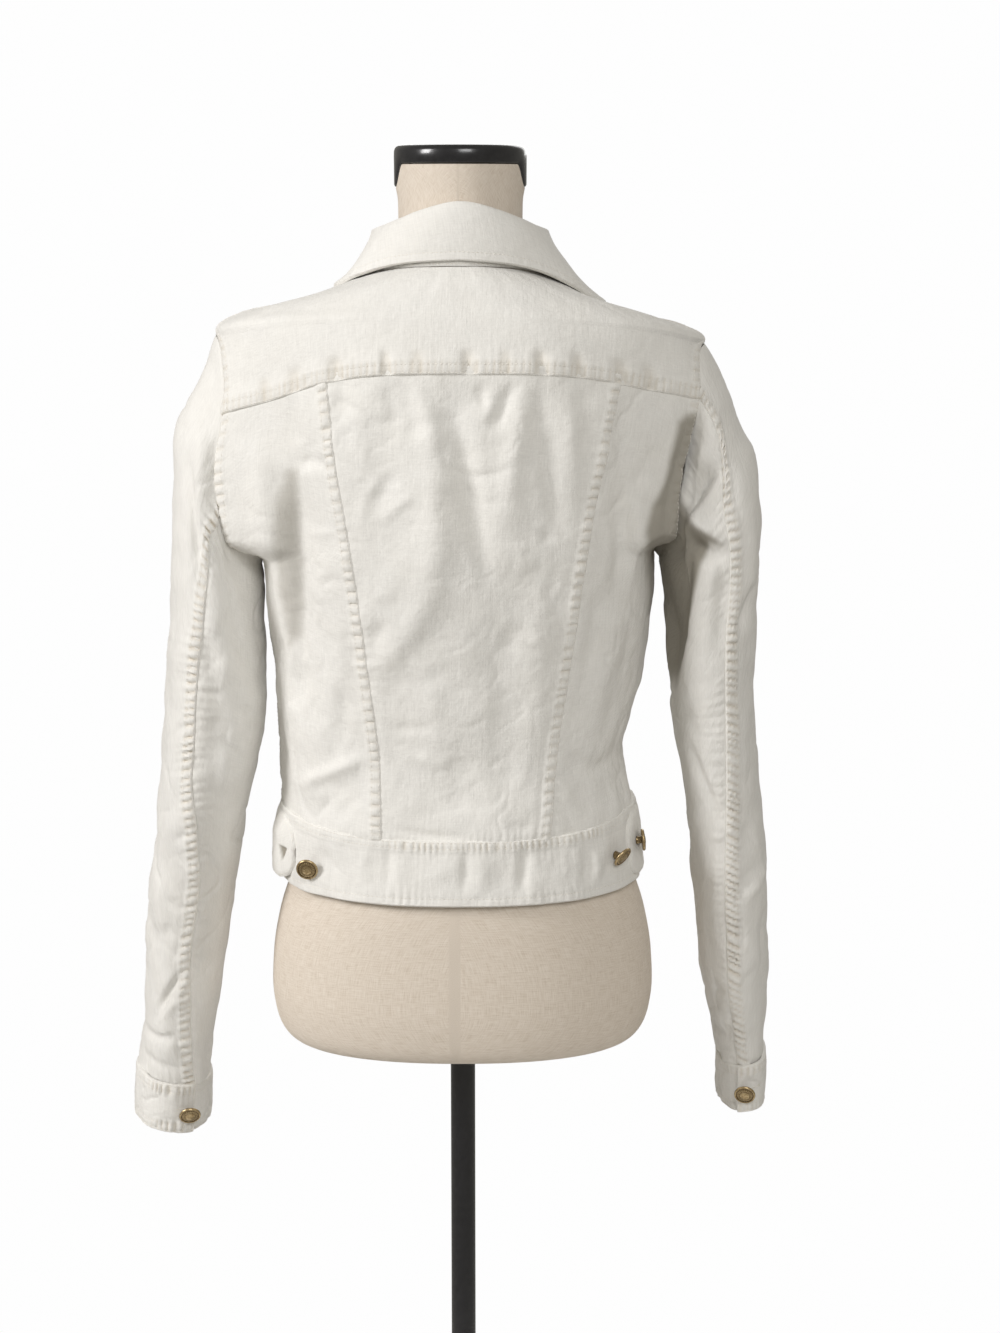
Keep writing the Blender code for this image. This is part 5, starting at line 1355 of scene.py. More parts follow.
def add_buttonhole(points, normals):
    """Close stitches down both sides and round the ends of a slit that follows the points."""

    def add_one(place, way, out, near):
        line = np.stack([place + way * far for far in (near, HOLE_STITCH_END)])
        add_stitches(line, np.stack([out, out]), -STITCH_START, 0.0, 1.0, HOLE_STITCH)

    reach = line_reach(points)
    along = unit(np.gradient(points, axis=0))
    across = unit(np.cross(normals, along))
    for side in (-1, 1):
        for at in np.arange(0.0, reach[-1], HOLE_PITCH):
            place, way, out = (at_reach(at, reach, values) for values in (points, across, normals))
            add_one(place, side * way, out, 0.00035)
    for end, heading in ((0, -1), (-1, 1)):
        for turn in np.radians(np.arange(-75, 76, 25)):
            way = heading * along[end] * math.cos(turn) + across[end] * math.sin(turn)
            add_one(points[end], way, normals[end], 0.0004)


def make_stitches(name):
    """One object of all the thread sewn since the last call."""
    stitches = np.concatenate(STITCHES)
    STITCHES.clear()
    here = np.arange(THREAD_SIDES)
    after = (here + 1) % THREAD_SIDES
    ring = np.stack([after, here, THREAD_SIDES + here, THREAD_SIDES + after], axis=1)
    quads = np.concatenate([ring, ring + THREAD_SIDES])
    top, caps = 2 * THREAD_SIDES, []
    for number in range(1, THREAD_SIDES - 1):
        caps += [[0, number, number + 1], [top, top + number + 1, top + number]]
    starts = 3 * THREAD_SIDES * np.arange(len(stitches))[:, None, None]
    quads, caps = (quads + starts).reshape(-1, 4), (np.array(caps) + starts).reshape(-1, 3)
    mesh_object(name, stitches.reshape(-1, 3), quads, caps, THREAD, "white_denim", sharp=0.0)


# ---------------------------------------------------------------- body panels
# Spacing of the points of the cloth, and the number of places that lines are measured at.
FINE = 0.0018
PLAIN = 0.0024
WIDE = 0.0030
SAMPLES = 240
LEVEL_SAMPLES = 600
SLEEVE_SAMPLES = 400
CUFF_SAMPLES = 1200


def spread(reach, begin, end, lines, step, narrow):
    """Angles along each row of a grid from begin to end, closer together beside both edges. Rows
    that are narrow for that are spread evenly."""
    widest = float((end - begin).max())
    places, ends = spaced(widest, step), edge_places(widest)
    middle = (places[len(ends):-len(ends)] - ends[-1]) / (widest - 2 * ends[-1])
    found = []
    for row, start, stop, line in zip(reach, begin, end, lines):
        width = stop - start
        at = places / widest * width
        if width > narrow * ends[-1]:
            at = np.concatenate([ends, ends[-1] + middle * (width - 2 * ends[-1]), width - ends[::-1]])
        found.append(np.interp(start + at, row, line))
    return np.array(found)


def place_levels(low, high, angle, step, below=0.0, above=0.0):
    """Levels spaced by distance up the cloth at one angle, reaching past both ends."""
    levels = np.linspace(low - 0.6, high + 0.6, LEVEL_SAMPLES)
    levels = np.clip(levels, 0, len(BODY_RINGS) - 1)
    reach = line_reach(body_base(levels, float(angle)))
    reach = reach + np.arange(LEVEL_SAMPLES) * 1e-9
    first = np.interp(low, levels, reach) - below
    last = np.interp(high, levels, reach) + above
    return np.interp(first + spaced(last - first, step), reach, levels)


def body_patch(name, levels, first_edge, last_edge, step, seed, cloth=CLOTH, lift=0.0,
               before=0.0, after=0.0):  # fmt: skip
    """A patch of the body surface between two edges, reaching before the first and after the last."""
    rows = levels[:, None]
    first, last = first_edge(levels)[:, None], last_edge(levels)[:, None]
    share = np.linspace(-0.12, 1.12, SAMPLES)
    angles = first + (last - first) * share
    reach = running(body_base(rows, angles), 1)
    begin = np.array([np.interp(0.0, share, row) for row in reach]) - before
    end = np.array([np.interp(1.0, share, row) for row in reach]) + after
    angles = spread(reach, begin, end, angles, step, 3.0)
    base = body_base(rows, angles)
    patch = Patch(name, base, body_normal(rows, angles), cloth, seed, BODY_CREASES, lift)
    patch.place = (BODY_DENT_RADIUS * np.radians(angles), base[..., 2])
    return patch


# Width, height and, for long ones, height up the cloth of the soft dents of body and sleeves.
BODY_DENTS = (
    (0.026, 0.0012, 0.110),
    (0.050, 0.0014),
    (0.021, 0.0010),
    (0.0095, 0.00036),
)
SLEEVE_DENTS = (
    (0.024, 0.0013, 0.090),
    (0.042, 0.0016),
    (0.018, 0.0010),
    (0.009, 0.00034),
)
YOKE_DENTS = (
    # x, depth and half width of each dent above the yoke seam
    (-0.1420, -0.0010, 0.0040),
    (-0.1200, -0.0016, 0.0050),
    (-0.0886, -0.0022, 0.0052),
    (-0.0513, -0.0024, 0.0034),
    (-0.0280, -0.0008, 0.0040),
    (0.0083, -0.0026, 0.0048),
    (0.0350, -0.0009, 0.0040),
    (0.0608, -0.0026, 0.0050),
    (0.0881, -0.0020, 0.0044),
    (0.1198, -0.0022, 0.0052),
    (0.1413, -0.0018, 0.0044),
)


def build_back():
    left_edge, right_edge = (lambda v: back_edge(v, -1)), (lambda v: back_edge(v, 1))
    left_seam, right_seam = (lambda v: princess_angle(v, "left")), (lambda v: princess_angle(v, "right"))
    levels = place_levels(YOKE_SEAM, NECK_SEAM, 0.0, FINE, below=0.0012)
    yoke = body_patch("back_yoke", levels, left_edge, right_edge, FINE, 20, before=0.0022,
                      after=0.0022)  # fmt: skip
    yoke.edge("low", lap=0.0011, width=0.010, lines=YOKE_LINES, ladder=(0.0052, 0.00016),
              pucker=(0.0052, 0.00035, 0.008))  # fmt: skip
    for side in ("first", "last"):
        yoke.edge(side, lap=0.0007, width=0.0085, lines=ARMHOLE_LINES, ladder=(0.0085, 0.0004))
    x, near = yoke.base[..., 0], yoke.near["low"]
    band = ease_in_out(near / 0.0015) * ease_in_out((0.021 - near) / 0.009)
    for place, depth, width in YOKE_DENTS:
        dent = bell((x - place + 0.12 * near) / width) * band
        yoke.height += 1.25 * depth * dent
        # Painted shade darkens each dent.
        yoke.shade += 0.30 * dent
    yoke.height += 0.0010 * band
    yoke.gain = 0.45 + 0.55 * ease_in_out(1 - near / 0.022)
    yoke.gain = yoke.gain * (0.25 + 0.75 * ease_in_out(yoke.near["high"] / 0.020))
    yoke.unevenness(*BODY_DENTS)
    yoke.crumple(0.030, 0.0008)
    yoke.make("form_torso")
    yoke.sew(("low",), YOKE_LINES)
    yoke.sew(("first", "last"), ARMHOLE_LINES)
    levels = place_levels(BAND_TOP, YOKE_SEAM, 0.0, FINE, below=0.004, above=0.006)
    left = body_patch("back_side_left", levels, left_edge, left_seam, FINE, 40, before=0.0020,
                      after=0.0037)  # fmt: skip
    centre = body_patch("back_centre", levels, left_seam, right_seam, FINE, 60, after=0.0037)
    right = body_patch("back_side_right", levels, right_seam, right_edge, FINE, 80, after=0.0030)
    for patch in (left, centre):
        patch.edge("last", lap=0.0009, lines=PRINCESS_LINES, ladder=(0.0080, 0.0016),
                   pucker=(0.0084, 0.00030, 0.007))  # fmt: skip
    for patch in (centre, right):
        patch.edge("first", lap=-0.0005, width=0.0060, pucker=(0.0084, 0.00030, 0.008))
    for patch, side in ((left, "first"), (right, "last")):
        patch.sewn = 0.1 + 0.9 * ease_in_out((patch.base[..., 2] - 1.185) / 0.02)
        patch.edge(side, lap=0.0007, width=0.0085, lines=ARMHOLE_LINES, ladder=(0.0085, 0.0009),
                   pucker=(0.0085, 0.0004, 0.006))  # fmt: skip
        patch.sewn = 1.0
    for patch in (left, centre, right):
        patch.edge("high", lap=-0.0006, width=0.010)
        patch.edge("low", **UNDER_BAND)
        patch.unevenness(*BODY_DENTS)
        patch.gain = 0.6 + 0.4 * ease_in_out(patch.near["high"] / 0.012)
        patch.crumple(0.030, 0.0013)
        patch.crumple(0.017, 0.0005)
        patch.make("cloth_back_yoke")
    for patch in (left, centre):
        patch.sew(("last",), PRINCESS_LINES)
    left.sew(("first",), ARMHOLE_LINES)
    right.sew(("last",), ARMHOLE_LINES[:1])
    make_stitches("thread_back")


def build_fronts():
    levels = place_levels(BAND_TOP, NECK_SEAM, 150.0, WIDE, below=0.003)
    under = 0.0042 * ease_in_out((levels - 5.3) / 0.5) * ease_in_out((9.0 - levels) / 0.2)
    for name, sign in (("front_left", -1), ("front_right", 1)):
        patch = body_patch(name, levels, lambda v: front_edge(v, sign),
                           lambda v: np.full(v.shape, sign * 180.0), WIDE, 100 + sign * 10,
                           before=under)  # fmt: skip
        patch.edge("first", lap=-0.0004, width=0.0085, lines=ARMHOLE_LINES[1:],
                   pucker=(0.0085, 0.0003, 0.006))  # fmt: skip
        patch.edge("last", roll=0.0)
        patch.edge("low", **UNDER_BAND)
        patch.unevenness(*BODY_DENTS)
        patch.crumple(0.030, 0.0010)
        patch.make("form_torso")
        patch.sew(("first",), ARMHOLE_LINES[1:])
    levels = place_levels(1.02, 11.95, 180.0, PLAIN)
    strip = body_patch("front_placket", levels, lambda v: 180 - placket_angle(v),
                       lambda v: 180 + placket_angle(v), FINE, 130, PLACKET_CLOTH,
                       SEAM_GAP + PLACKET_CLOTH)  # fmt: skip
    for side in ("first", "last"):
        strip.edge(side, lines=PLACKET_LINES, ladder=(0.0085, 0.0003))
    strip.edge("low")
    strip.edge("high", lines=PLACKET_LINES[:1])
    strip.unevenness((0.030, 0.0003), (0.009, 0.0001))
    strip.make("cloth_front_left", "cloth_front_right")
    strip.sew(("first", "last"), PLACKET_LINES)
    angles = 180 + np.linspace(-4.6, 2.0, 12)
    for level in FRONT_BUTTON_LEVELS:
        levels = np.full(angles.shape, level)
        lifts = np.full(angles.shape, SEAM_GAP + PLACKET_CLOTH)
        add_buttonhole(body(levels, angles, lifts), body_normal(levels, angles))
    make_stitches("thread_front")


def build_waistband():
    for name, first, last, step, seed in (
        ("waistband_back", -90.0, 90.0, 0.0011, 150),
        ("waistband_front_left", -90.0, -180.0 + UNDERLAP_ANGLE, PLAIN, 160),
        ("waistband_front_right", 90.0, 180.0 + UNDERLAP_ANGLE, PLAIN, 170),
    ):
        levels = place_levels(HEM, BAND_TOP, (first + last) / 2, 0.0016, above=0.0012)
        patch = body_patch(name, levels, lambda v: np.full(v.shape, first),
                           lambda v: np.full(v.shape, last), step, seed, DOUBLE_CLOTH,
                           BAND_LIFT)  # fmt: skip
        if name == "waistband_back":
            x, z, is_back = patch.base[..., 0], patch.base[..., 2], patch.base[..., 1] < 0
            patch.height += crease_height(both_faces(BAND_CREASES, ()), x, z, is_back)
            within = ease_in_out((x + 0.062) / 0.010) * ease_in_out((0.112 - x) / 0.010)
            patch.sewn = 0.12 + 1.0 * within * is_back
        patch.edge("high", lap=0.0009, width=0.0066, lines=BAND_LINES, ladder=(0.0049, 0.00032),
                   pucker=(0.0049, 0.0006, 0.0065))  # fmt: skip
        patch.edge("low", lines=(HEM_LINE,), pucker=(0.0060, 0.00055, 0.006), roll=0.9)
        patch.edge("first")
        patch.edge("last")
        patch.unevenness((0.034, 0.0012), (0.014, 0.0009), (0.007, 0.00030))
        patch.make("cloth_back_centre")
        patch.sew(("high",), BAND_LINES)
        patch.sew(("low",), (HEM_LINE,))
    make_stitches("thread_waistband")


def build_tabs():
    for name, rows, sign in (("side_tab_left", TAB_LEFT, -1), ("side_tab_right", TAB_RIGHT, 1)):
        share = np.linspace(0, 1, 25)
        slit_rows = np.linspace(0.20, 0.60, 30)
        share = np.concatenate([share[share < 0.19], slit_rows, share[share > 0.61]])[:, None]
        angle = table_column(rows, TAB_COLUMNS, "angle")
        dense = np.concatenate([np.linspace(angle[0], angle[-1] + 1.2, 44),
                                np.linspace(angle[-1] + 1.0, angle[-1], 7)])  # fmt: skip
        low, high, lift = (smooth_through(-dense, -angle, table_column(rows, TAB_COLUMNS, column))
                           for column in ("low", "high", "lift"))  # fmt: skip
        levels = low + (high - low) * share
        angles = np.broadcast_to(sign * dense, levels.shape)
        lean = 0.85 * ease_in_out((share - 0.62) / 0.38)
        patch = Patch(name, body_base(levels, angles), body_normal(levels, angles), TAB_CLOTH,
                      190 + sign, BODY_CREASES)  # fmt: skip
        patch.height += TAB_CLEAR + (lift - TAB_CLEAR) * (1 - lean) + TAB_CLOTH
        for side in ("low", "high", "last"):
            patch.edge(side, lap=-0.0007, width=0.004, lines=(TAB_LINE,))
        patch.unevenness((0.015, 0.0005), (0.006, 0.0002))
        # The left slit gapes as a wedge that is narrow at its lower end; the right one is shut.
        slit = slice(-20, -11) if sign < 0 else slice(-26, -17)
        from_slit = ((share - 0.5) * patch.up[-1:])[:, slit]
        cut = np.zeros(levels.shape)
        if sign < 0:
            rise = (from_slit + 0.0105) / 0.0110
            far = np.abs(np.linspace(-0.55, 0.45, 9))[None, :]
            cut[:, slit] = ease_in_out((0.36 * rise - far) / 0.2 + 0.5) * ease_in_out((1.1 - rise) / 0.2)
        else:
            cut[:, slit] = bell(from_slit / 0.0011)
        patch.height -= SLIT_DEPTH * cut
        # The dark inside of both slits is painted shadow.
        patch.deep = cut
        patch.make("cloth_waistband_back")
        patch.sew(("low", "high", "last"), (TAB_LINE,), 0.0, 0.002)
        patch.height += SLIT_DEPTH * cut
        if sign > 0:
            middle = int(np.argmin(np.abs(share - 0.5)))
            add_buttonhole(patch.outer()[middle][slit], patch.normal[middle][slit])
    make_stitches("thread_tabs")


# ---------------------------------------------------------------- sleeves and cuffs
def sleeve_patch(sleeve, name, rings, first, last):
    """A patch of a sleeve between two lines down it, with its folds on the back and front half."""
    rows = rings[:, None]
    share = np.linspace(0, 1, SAMPLES)
    turns = first[:, None] + (last - first)[:, None] * share
    reach = running(sleeve.base(rows, turns), 1)
    turns = spread(reach, np.zeros(len(reach)), reach[:, -1], turns, PLAIN, 2.5)
    base = sleeve.base(rows, turns)
    patch = Patch(name, base, sleeve.normal(rows, turns), CLOTH, 200 + 10 * sleeve.sign)
    patch.place = (SLEEVE_DENT_RADIUS * np.radians(turns) + 2.0 + sleeve.sign, base[..., 2])
    near, x, z = patch.near["low"], base[..., 0], base[..., 2]
    front_part = ease_in_out(0.5 + (base[..., 1] - sleeve.middle_y(rows)) / 0.018)
    on_back = np.ones(x.shape, bool)
    folds = (1 - front_part) * crease_height(sleeve.creases, np.abs(x), z, on_back)
    folds += front_part * crease_height(sleeve.creases, np.abs(x), z, ~on_back)
    patch.height += ease_in_out(near / sleeve.fold_fade) * folds
    seam = crease_height(BODY_CREASES, x, z, base[..., 1] < 0)
    patch.height += (1 - ease_in_out(near / 0.016)) * seam
    return patch


def build_sleeves():
    for side, values in SLEEVES.items():
        sleeve = Sleeve(*values)
        steps = np.linspace(0, sleeve.knots[-1], SLEEVE_SAMPLES)
        reach = line_reach(sleeve.base(steps, 90.0))
        rings = np.interp(spaced(float(reach[-1]), FINE), reach, steps)
        front, rear = np.full(rings.shape, FRONT_SEAM), sleeve.column("rear_seam", rings)
        upper = sleeve_patch(sleeve, "sleeve_upper_" + side, rings, front - 360 - SLEEVE_LAP,
                             rear + SLEEVE_LAP)  # fmt: skip
        under = sleeve_patch(sleeve, "sleeve_under_" + side, rings, rear, front)
        rear_lines = (SLEEVE_LINES[0], sleeve.felled - 0.0010)
        # The upper sleeve's rear seam gets a stronger painted shade in its ladder valleys.
        upper.slant, upper.rung_painted_shade = sleeve.slant, 0.75
        upper.edge("last", lap=0.0009, width=sleeve.felled, lines=rear_lines, ladder=(0.0066, 0.0017),
                   pucker=(0.0066, 0.0007, 0.008))  # fmt: skip
        upper.slant, upper.rung_painted_shade = 0.0, RUNG_SHADE
        upper.edge("first", lap=0.0008, width=0.0080, lines=SLEEVE_LINES, ladder=(0.0080, 0.0006))
        under.edge("first", lap=-0.0004, width=0.006, pucker=(0.0080, 0.0008, 0.009))
        under.edge("last", lap=-0.0004, width=0.006, pucker=(0.0080, 0.0003, 0.006))
        for patch, front_side in ((upper, "first"), (under, "last")):
            patch.edge("low", lap=-0.0003, width=0.006, pucker=(0.0090, 0.0005, 0.009))
            patch.edge("high", lap=-0.0003, width=0.006, pucker=(0.0055, 0.0005, 0.008))
            patch.gain = ease_in_out(patch.near["low"] / 0.02)
            patch.gain = patch.gain * (0.2 + 0.8 * ease_in_out(patch.near[front_side] / 0.02))
            patch.unevenness(*SLEEVE_DENTS)
            patch.crumple(0.027, 0.0014)
            patch.crumple(0.015, 0.0005)
            patch.make("cloth_back_yoke")
        upper.sew(("last",), rear_lines)
        upper.sew(("first",), SLEEVE_LINES)
        make_stitches("thread_sleeve_" + side)


def build_cuffs():
    for side, (sign, _, start) in CUFFS.items():
        turns = np.linspace(start, start + 360 + CUFF_LAP_TURN, CUFF_SAMPLES)
        reach = line_reach(cuff_points(side, 0.5, turns, 0.0)[0])
        turns = np.interp(spaced(float(reach[-1]), 0.0012), reach, turns)
        share = 1.0 - 1.05 * spaced(CUFF_HEIGHT, 0.0011)[:, None] / CUFF_HEIGHT
        base, normal = cuff_points(side, share, turns, 0.0)
        patch = Patch("cuff_" + side, base, normal, DOUBLE_CLOTH, 230 + sign, lift=0.0004)
        place = start + 360 + CUFF_LAP_TURN / 2
        from_button = np.abs(turns - place + (10 if sign < 0 else 0))
        patch.sewn = 0.35 + 0.9 * (1 - ease_in_out((from_button - 22) / 24))
        patch.edge("low", lines=CUFF_HEM_LINES, roll=0.8, width=0.0085, ladder=(0.0052, 0.0004),
                   pucker=(0.0052, 0.0005, 0.004))  # fmt: skip
        patch.edge("high", lap=0.0002, width=0.0075, lines=CUFF_TOP_LINES, ladder=(0.0050, 0.0005),
                   pucker=(0.0050, 0.0006, 0.005))  # fmt: skip
        patch.edge("last", lines=CUFF_END_LINES)
        patch.edge("first")
        patch.gain = 0.25 + 0.75 * ease_in_out(patch.near["high"] / 0.009)
        patch.unevenness((0.030, 0.0014), (0.013, 0.0008), (0.006, 0.0003))
        patch.crumple(0.011, 0.0010)
        patch.make("cloth_sleeve_upper_" + side)
        patch.sew(("low",), CUFF_HEM_LINES)
        patch.sew(("high",), CUFF_TOP_LINES)
        patch.sew(("last",), CUFF_END_LINES, 0.002, 0.002)
        add_buttonhole(*cuff_points(side, 0.50, place + np.linspace(-27.0, 3.0, 14), 0.0009))
    make_stitches("thread_cuffs")


# ---------------------------------------------------------------- collar
def build_collar():
    angles = np.linspace(-COLLAR_END, COLLAR_END, 281)
    low = body(NECK_SEAM, angles) + np.array([0, 0, 0.0004])
    high = fold_line(angles) - outward(angles) * (FALL_CLOTH + 0.0008) - np.array([0, 0, 0.0006])
    share = np.linspace(0, 1, 25)[:, None, None]
    base = low * (1 - share) + high * share
    stand = Patch("collar_stand", base, np.broadcast_to(outward(angles), base.shape), STAND_CLOTH, 250)
    stand.edge("low", lines=(STAND_LINE,))
    stand.unevenness((0.02, 0.0003), (0.007, 0.0001))
    stand.make("cloth_back_yoke")
    stand.sew(("low",), (STAND_LINE,))
    span = COLLAR_END - 1.5
    angles = np.linspace(-span, span, 2000)
    line = line_reach(collar_edge(angles))
    angles = np.interp(spaced(float(line[-1]), FINE), line, angles)
    shares = np.linspace(0, 1, 60)
    middle = line_reach(np.concatenate([collar_fall(share, np.zeros(1)) for share in shares]))
    shares = np.interp(spaced(float(middle[-1]), FINE), middle, shares)
    base, inner = (np.stack([collar_fall(share, angles, lift) for share in shares])
                   for lift in (0.0, -FALL_CLOTH))  # fmt: skip
    fall = Patch("collar_fall", base, unit(base - inner), FALL_CLOTH, 260)
    fall.edge("high", width=0.0050, lines=(FALL_LINE,), roll=0.75, pucker=(0.0050, 0.0005, 0.004))
    fall.edge("low", roll=0.9)
    for side in ("first", "last"):
        fall.edge(side, lines=(FALL_LINE,), roll=0.75)
    fall.unevenness((0.035, 0.0007), (0.014, 0.0003), (0.007, 0.0001))
    fall.make("cloth_collar_stand", held="folded")
    fall.sew(("high",), (FALL_LINE,), 0.006, 0.006)
    fall.sew(("first", "last"), (FALL_LINE,), 0.003, 0.006)
    make_stitches("thread_collar")


# ---------------------------------------------------------------- buttons
BUTTON_SIDES = 96
BUTTON_PROFILE = (
    # radius, height, radial ribs, darkening
    (0.0033, 0.0000, 0.0, 0.6),
    (0.0031, 0.0005, 0.0, 0.5),
    (0.0027, 0.0012, 0.0, 0.5),
    (0.0026, 0.0034, 0.0, 0.6),
    (0.0040, 0.0036, 0.0, 0.7),
    (0.0070, 0.0036, 0.0, 0.5),
    (0.0080, 0.0038, 0.0, 0.3),
    (0.0084, 0.0042, 0.0, 0.1),
    (0.0085, 0.0048, 0.0, 0.0),
    (0.0083, 0.0054, 0.0, 0.0),
    (0.0079, 0.0058, 0.0, 0.0),
    (0.0074, 0.0060, 0.0, 0.1),
    (0.0070, 0.0057, 0.0, 0.7),
    (0.0067, 0.0054, 0.0, 0.9),
    (0.0064, 0.0055, 0.4, 0.7),
    (0.0060, 0.0058, 1.0, 0.3),
    (0.0052, 0.0061, 1.0, 0.3),
    (0.0045, 0.0063, 0.6, 0.4),
    (0.0041, 0.0062, 0.0, 0.8),
    (0.0037, 0.0064, 0.0, 0.2),
    (0.0025, 0.0067, 0.0, 0.1),
    (0.0012, 0.0068, 0.0, 0.1),
)
BUTTON_TOP = 0.0068
BUTTON_RIBS = 24
RIB_HEIGHT = 0.00016
RIB_SHADE = 0.35
HEAD_PIVOT = 0.0030
HEAD_REACH = 0.0086
BUTTON_LEANS = {
    # right and up, as seen facing the button
    "tab_button_left_rear": (0.65, -0.42),
    "tab_button_right_rear": (0.10, -0.85),
    "tab_button_right_side": (0.40, 0.0),
    "cuff_button_left": (-0.42, -0.60),
    "cuff_button_right": (-0.10, -0.36),
}


def lean_head(points, right, up):
    """Leans a button's head about the top of its shank, to the right and up as it faces us."""
    axis = Vector((right, up, 1.0)).normalized()
    across = Vector((0, 1, 0)).cross(axis).normalized()
    turned = np.array([across, axis.cross(across), axis])
    sunk = HEAD_REACH * math.hypot(axis[0], axis[1]) - 0.0012 * axis[2]
    rise = max(0.0, sunk - HEAD_PIVOT + BUTTON_CLEAR)
    head = points[:, 2] > HEAD_PIVOT
    moved = (points[head] - np.array([0, 0, HEAD_PIVOT])) @ turned
    points[head] = moved + np.array([0, 0, HEAD_PIVOT + rise])
    return points


def build_button(name, foot, normal):
    axis = Vector(normal).normalized()
    across = Vector((0, 0, 1)).cross(axis).normalized()
    turn = full_turn(BUTTON_SIDES)
    ripple = np.cos(BUTTON_RIBS * turn)
    rows, shade = [], []
    for radius, height, rib, dark in BUTTON_PROFILE:
        tall = height + rib * RIB_HEIGHT * ripple
        rows.append(np.stack([radius * np.cos(turn), radius * np.sin(turn), tall], axis=-1))
        shade.append(np.clip(dark - rib * RIB_SHADE * ripple, 0, 1))
    points = np.concatenate(rows + [np.array([[0.0, 0.0, 0.0], [0.0, 0.0, BUTTON_TOP]])])
    if name in BUTTON_LEANS:
        points = lean_head(points, *BUTTON_LEANS[name])
    points = points @ np.array([across, axis.cross(across), axis])
    points = points + np.array(foot) + np.array(axis) * SEAM_GAP
    count = len(rows) * BUTTON_SIDES
    quads = grid_quads(len(rows), BUTTON_SIDES, closed=True)
    caps = end_caps(0, count - BUTTON_SIDES, BUTTON_SIDES, count)
    shade = np.concatenate(shade + [np.array([0.6, 0.1])])
    item = mesh_object("brass_" + name, points, quads, caps, OLD_BRASS, "antique_brass",
                       sharp=0.0, shade=shade)  # fmt: skip
    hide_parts(name)


def build_buttons():
    places = [(f"front_button_{number + 1}", level, 180.0, SEAM_GAP + PLACKET_CLOTH)
              for number, level in enumerate(FRONT_BUTTON_LEVELS)]  # fmt: skip
    places.append(("waistband_button", 0.5, 180.0, BAND_LIFT))
    for name, level, angle, lift in places + list(TAB_BUTTONS):
        build_button(name, body(level, angle, lift), body_normal(level, angle))
    for side, (_, _, start) in CUFFS.items():
        turn = np.array(start + 360 + CUFF_LAP_TURN / 2)
        build_button("cuff_button_" + side, *cuff_points(side, 0.52, turn, BUTTON_CLEAR))


# ---------------------------------------------------------------- dress form and stand
def reach_ring(z_back, z_side, z_front, half, back, front, power, dip=0.0):
    """A closed ring of the form from the values of its table row. The neck's dips at its sides."""
    turn = full_turn(TORSO_SIDES)
    side, ahead = np.sin(turn), -np.cos(turn)
    depth, middle = np.where(ahead > 0, front, back), np.where(ahead > 0, z_front, z_back)
    z = middle + (z_side - middle) * np.abs(side) ** 3
    x = half * signed_power(side, power)
    z = z - dip * ease_in_out((np.abs(x) / np.abs(x).max() - 0.88) / 0.12)
    return np.stack([x, depth * signed_power(ahead, power), z], axis=-1)


def closed_rings(name, rings, finish, slot, replaced, sharp=50.0):
    """A closed solid through rings of points, with its UVs in metres."""
    rings = np.asarray(rings)
    count, sides = rings.shape[:2]
    around = running(np.concatenate([rings, rings[:, :1]], axis=1), 1)
    wide = around[:, :-1] - around[:, -1:] / 2
    up = line_reach(rings.mean(axis=1))[:, None]
    uv = np.stack([wide, np.maximum(up, running(rings, 0))], axis=-1).reshape(-1, 2)
    uv = np.concatenate([uv, uv[[0, -1]]])
    points = np.concatenate([rings.reshape(-1, 3), rings[[0, -1]].mean(axis=1)])
    caps = end_caps(0, (count - 1) * sides, sides, count * sides)
    quads = grid_quads(count, sides, closed=True)
    item = mesh_object(name, points, quads, caps, finish, slot, uv, sharp)
    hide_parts(replaced)


def build_form():
    turn = np.degrees(full_turn(TORSO_SIDES))
    rings = [reach_ring(*row) for row in FORM_RINGS]
    rings += [body(level, turn, -FORM_CLEAR, folded=False) for level in FORM_SHOULDER_LEVELS]
    rings += [reach_ring(*row) for row in FORM_NECK_BASE]
    for height, half, back, front, dip in NECK_RINGS:
        rings.append(reach_ring(height, height, height, half, back, front, 2.0, dip))
    rings = np.array(rings)
    z = rings[..., 2:]
    covered = ease_in_out((z - 0.915) / 0.015) * ease_in_out((1.41 - z) / 0.02)
    rings[..., :2] *= 1 - FORM_SLIMMER * covered
    knots = np.arange(len(rings), dtype=float)
    fine = np.linspace(0, knots[-1], 4 * len(rings))
    smooth = smooth_through(fine, knots, rings.reshape(len(rings), -1)).reshape(len(fine), -1, 3)
    closed_rings("linen_torso", smooth, LINEN_CLOTH, "beige_linen", "form_torso")
    height, half, back, front, dip = NECK_RINGS[-1]
    cap = []
    for grow, rise in CAP_PROFILE:
        z = height + SEAM_GAP + rise
        dipped = dip * (1 - ease_in_out((rise - 0.002) / 0.004))
        cap.append(reach_ring(z, z, z, half + grow, back + grow, front + grow, 2.0, dipped))
    closed_rings("enamel_neck_cap", cap, BLACK, "black_enamel", "form_neck_cap", 60.0)


def lathe(name, profile, sides, replaced):
    turn = full_turn(sides)
    rings = [np.stack([r * np.cos(turn), r * np.sin(turn), np.full(sides, z)], axis=-1)
             for r, z in profile]  # fmt: skip
    closed_rings(name, rings, BLACK, "black_enamel", replaced, 60.0)


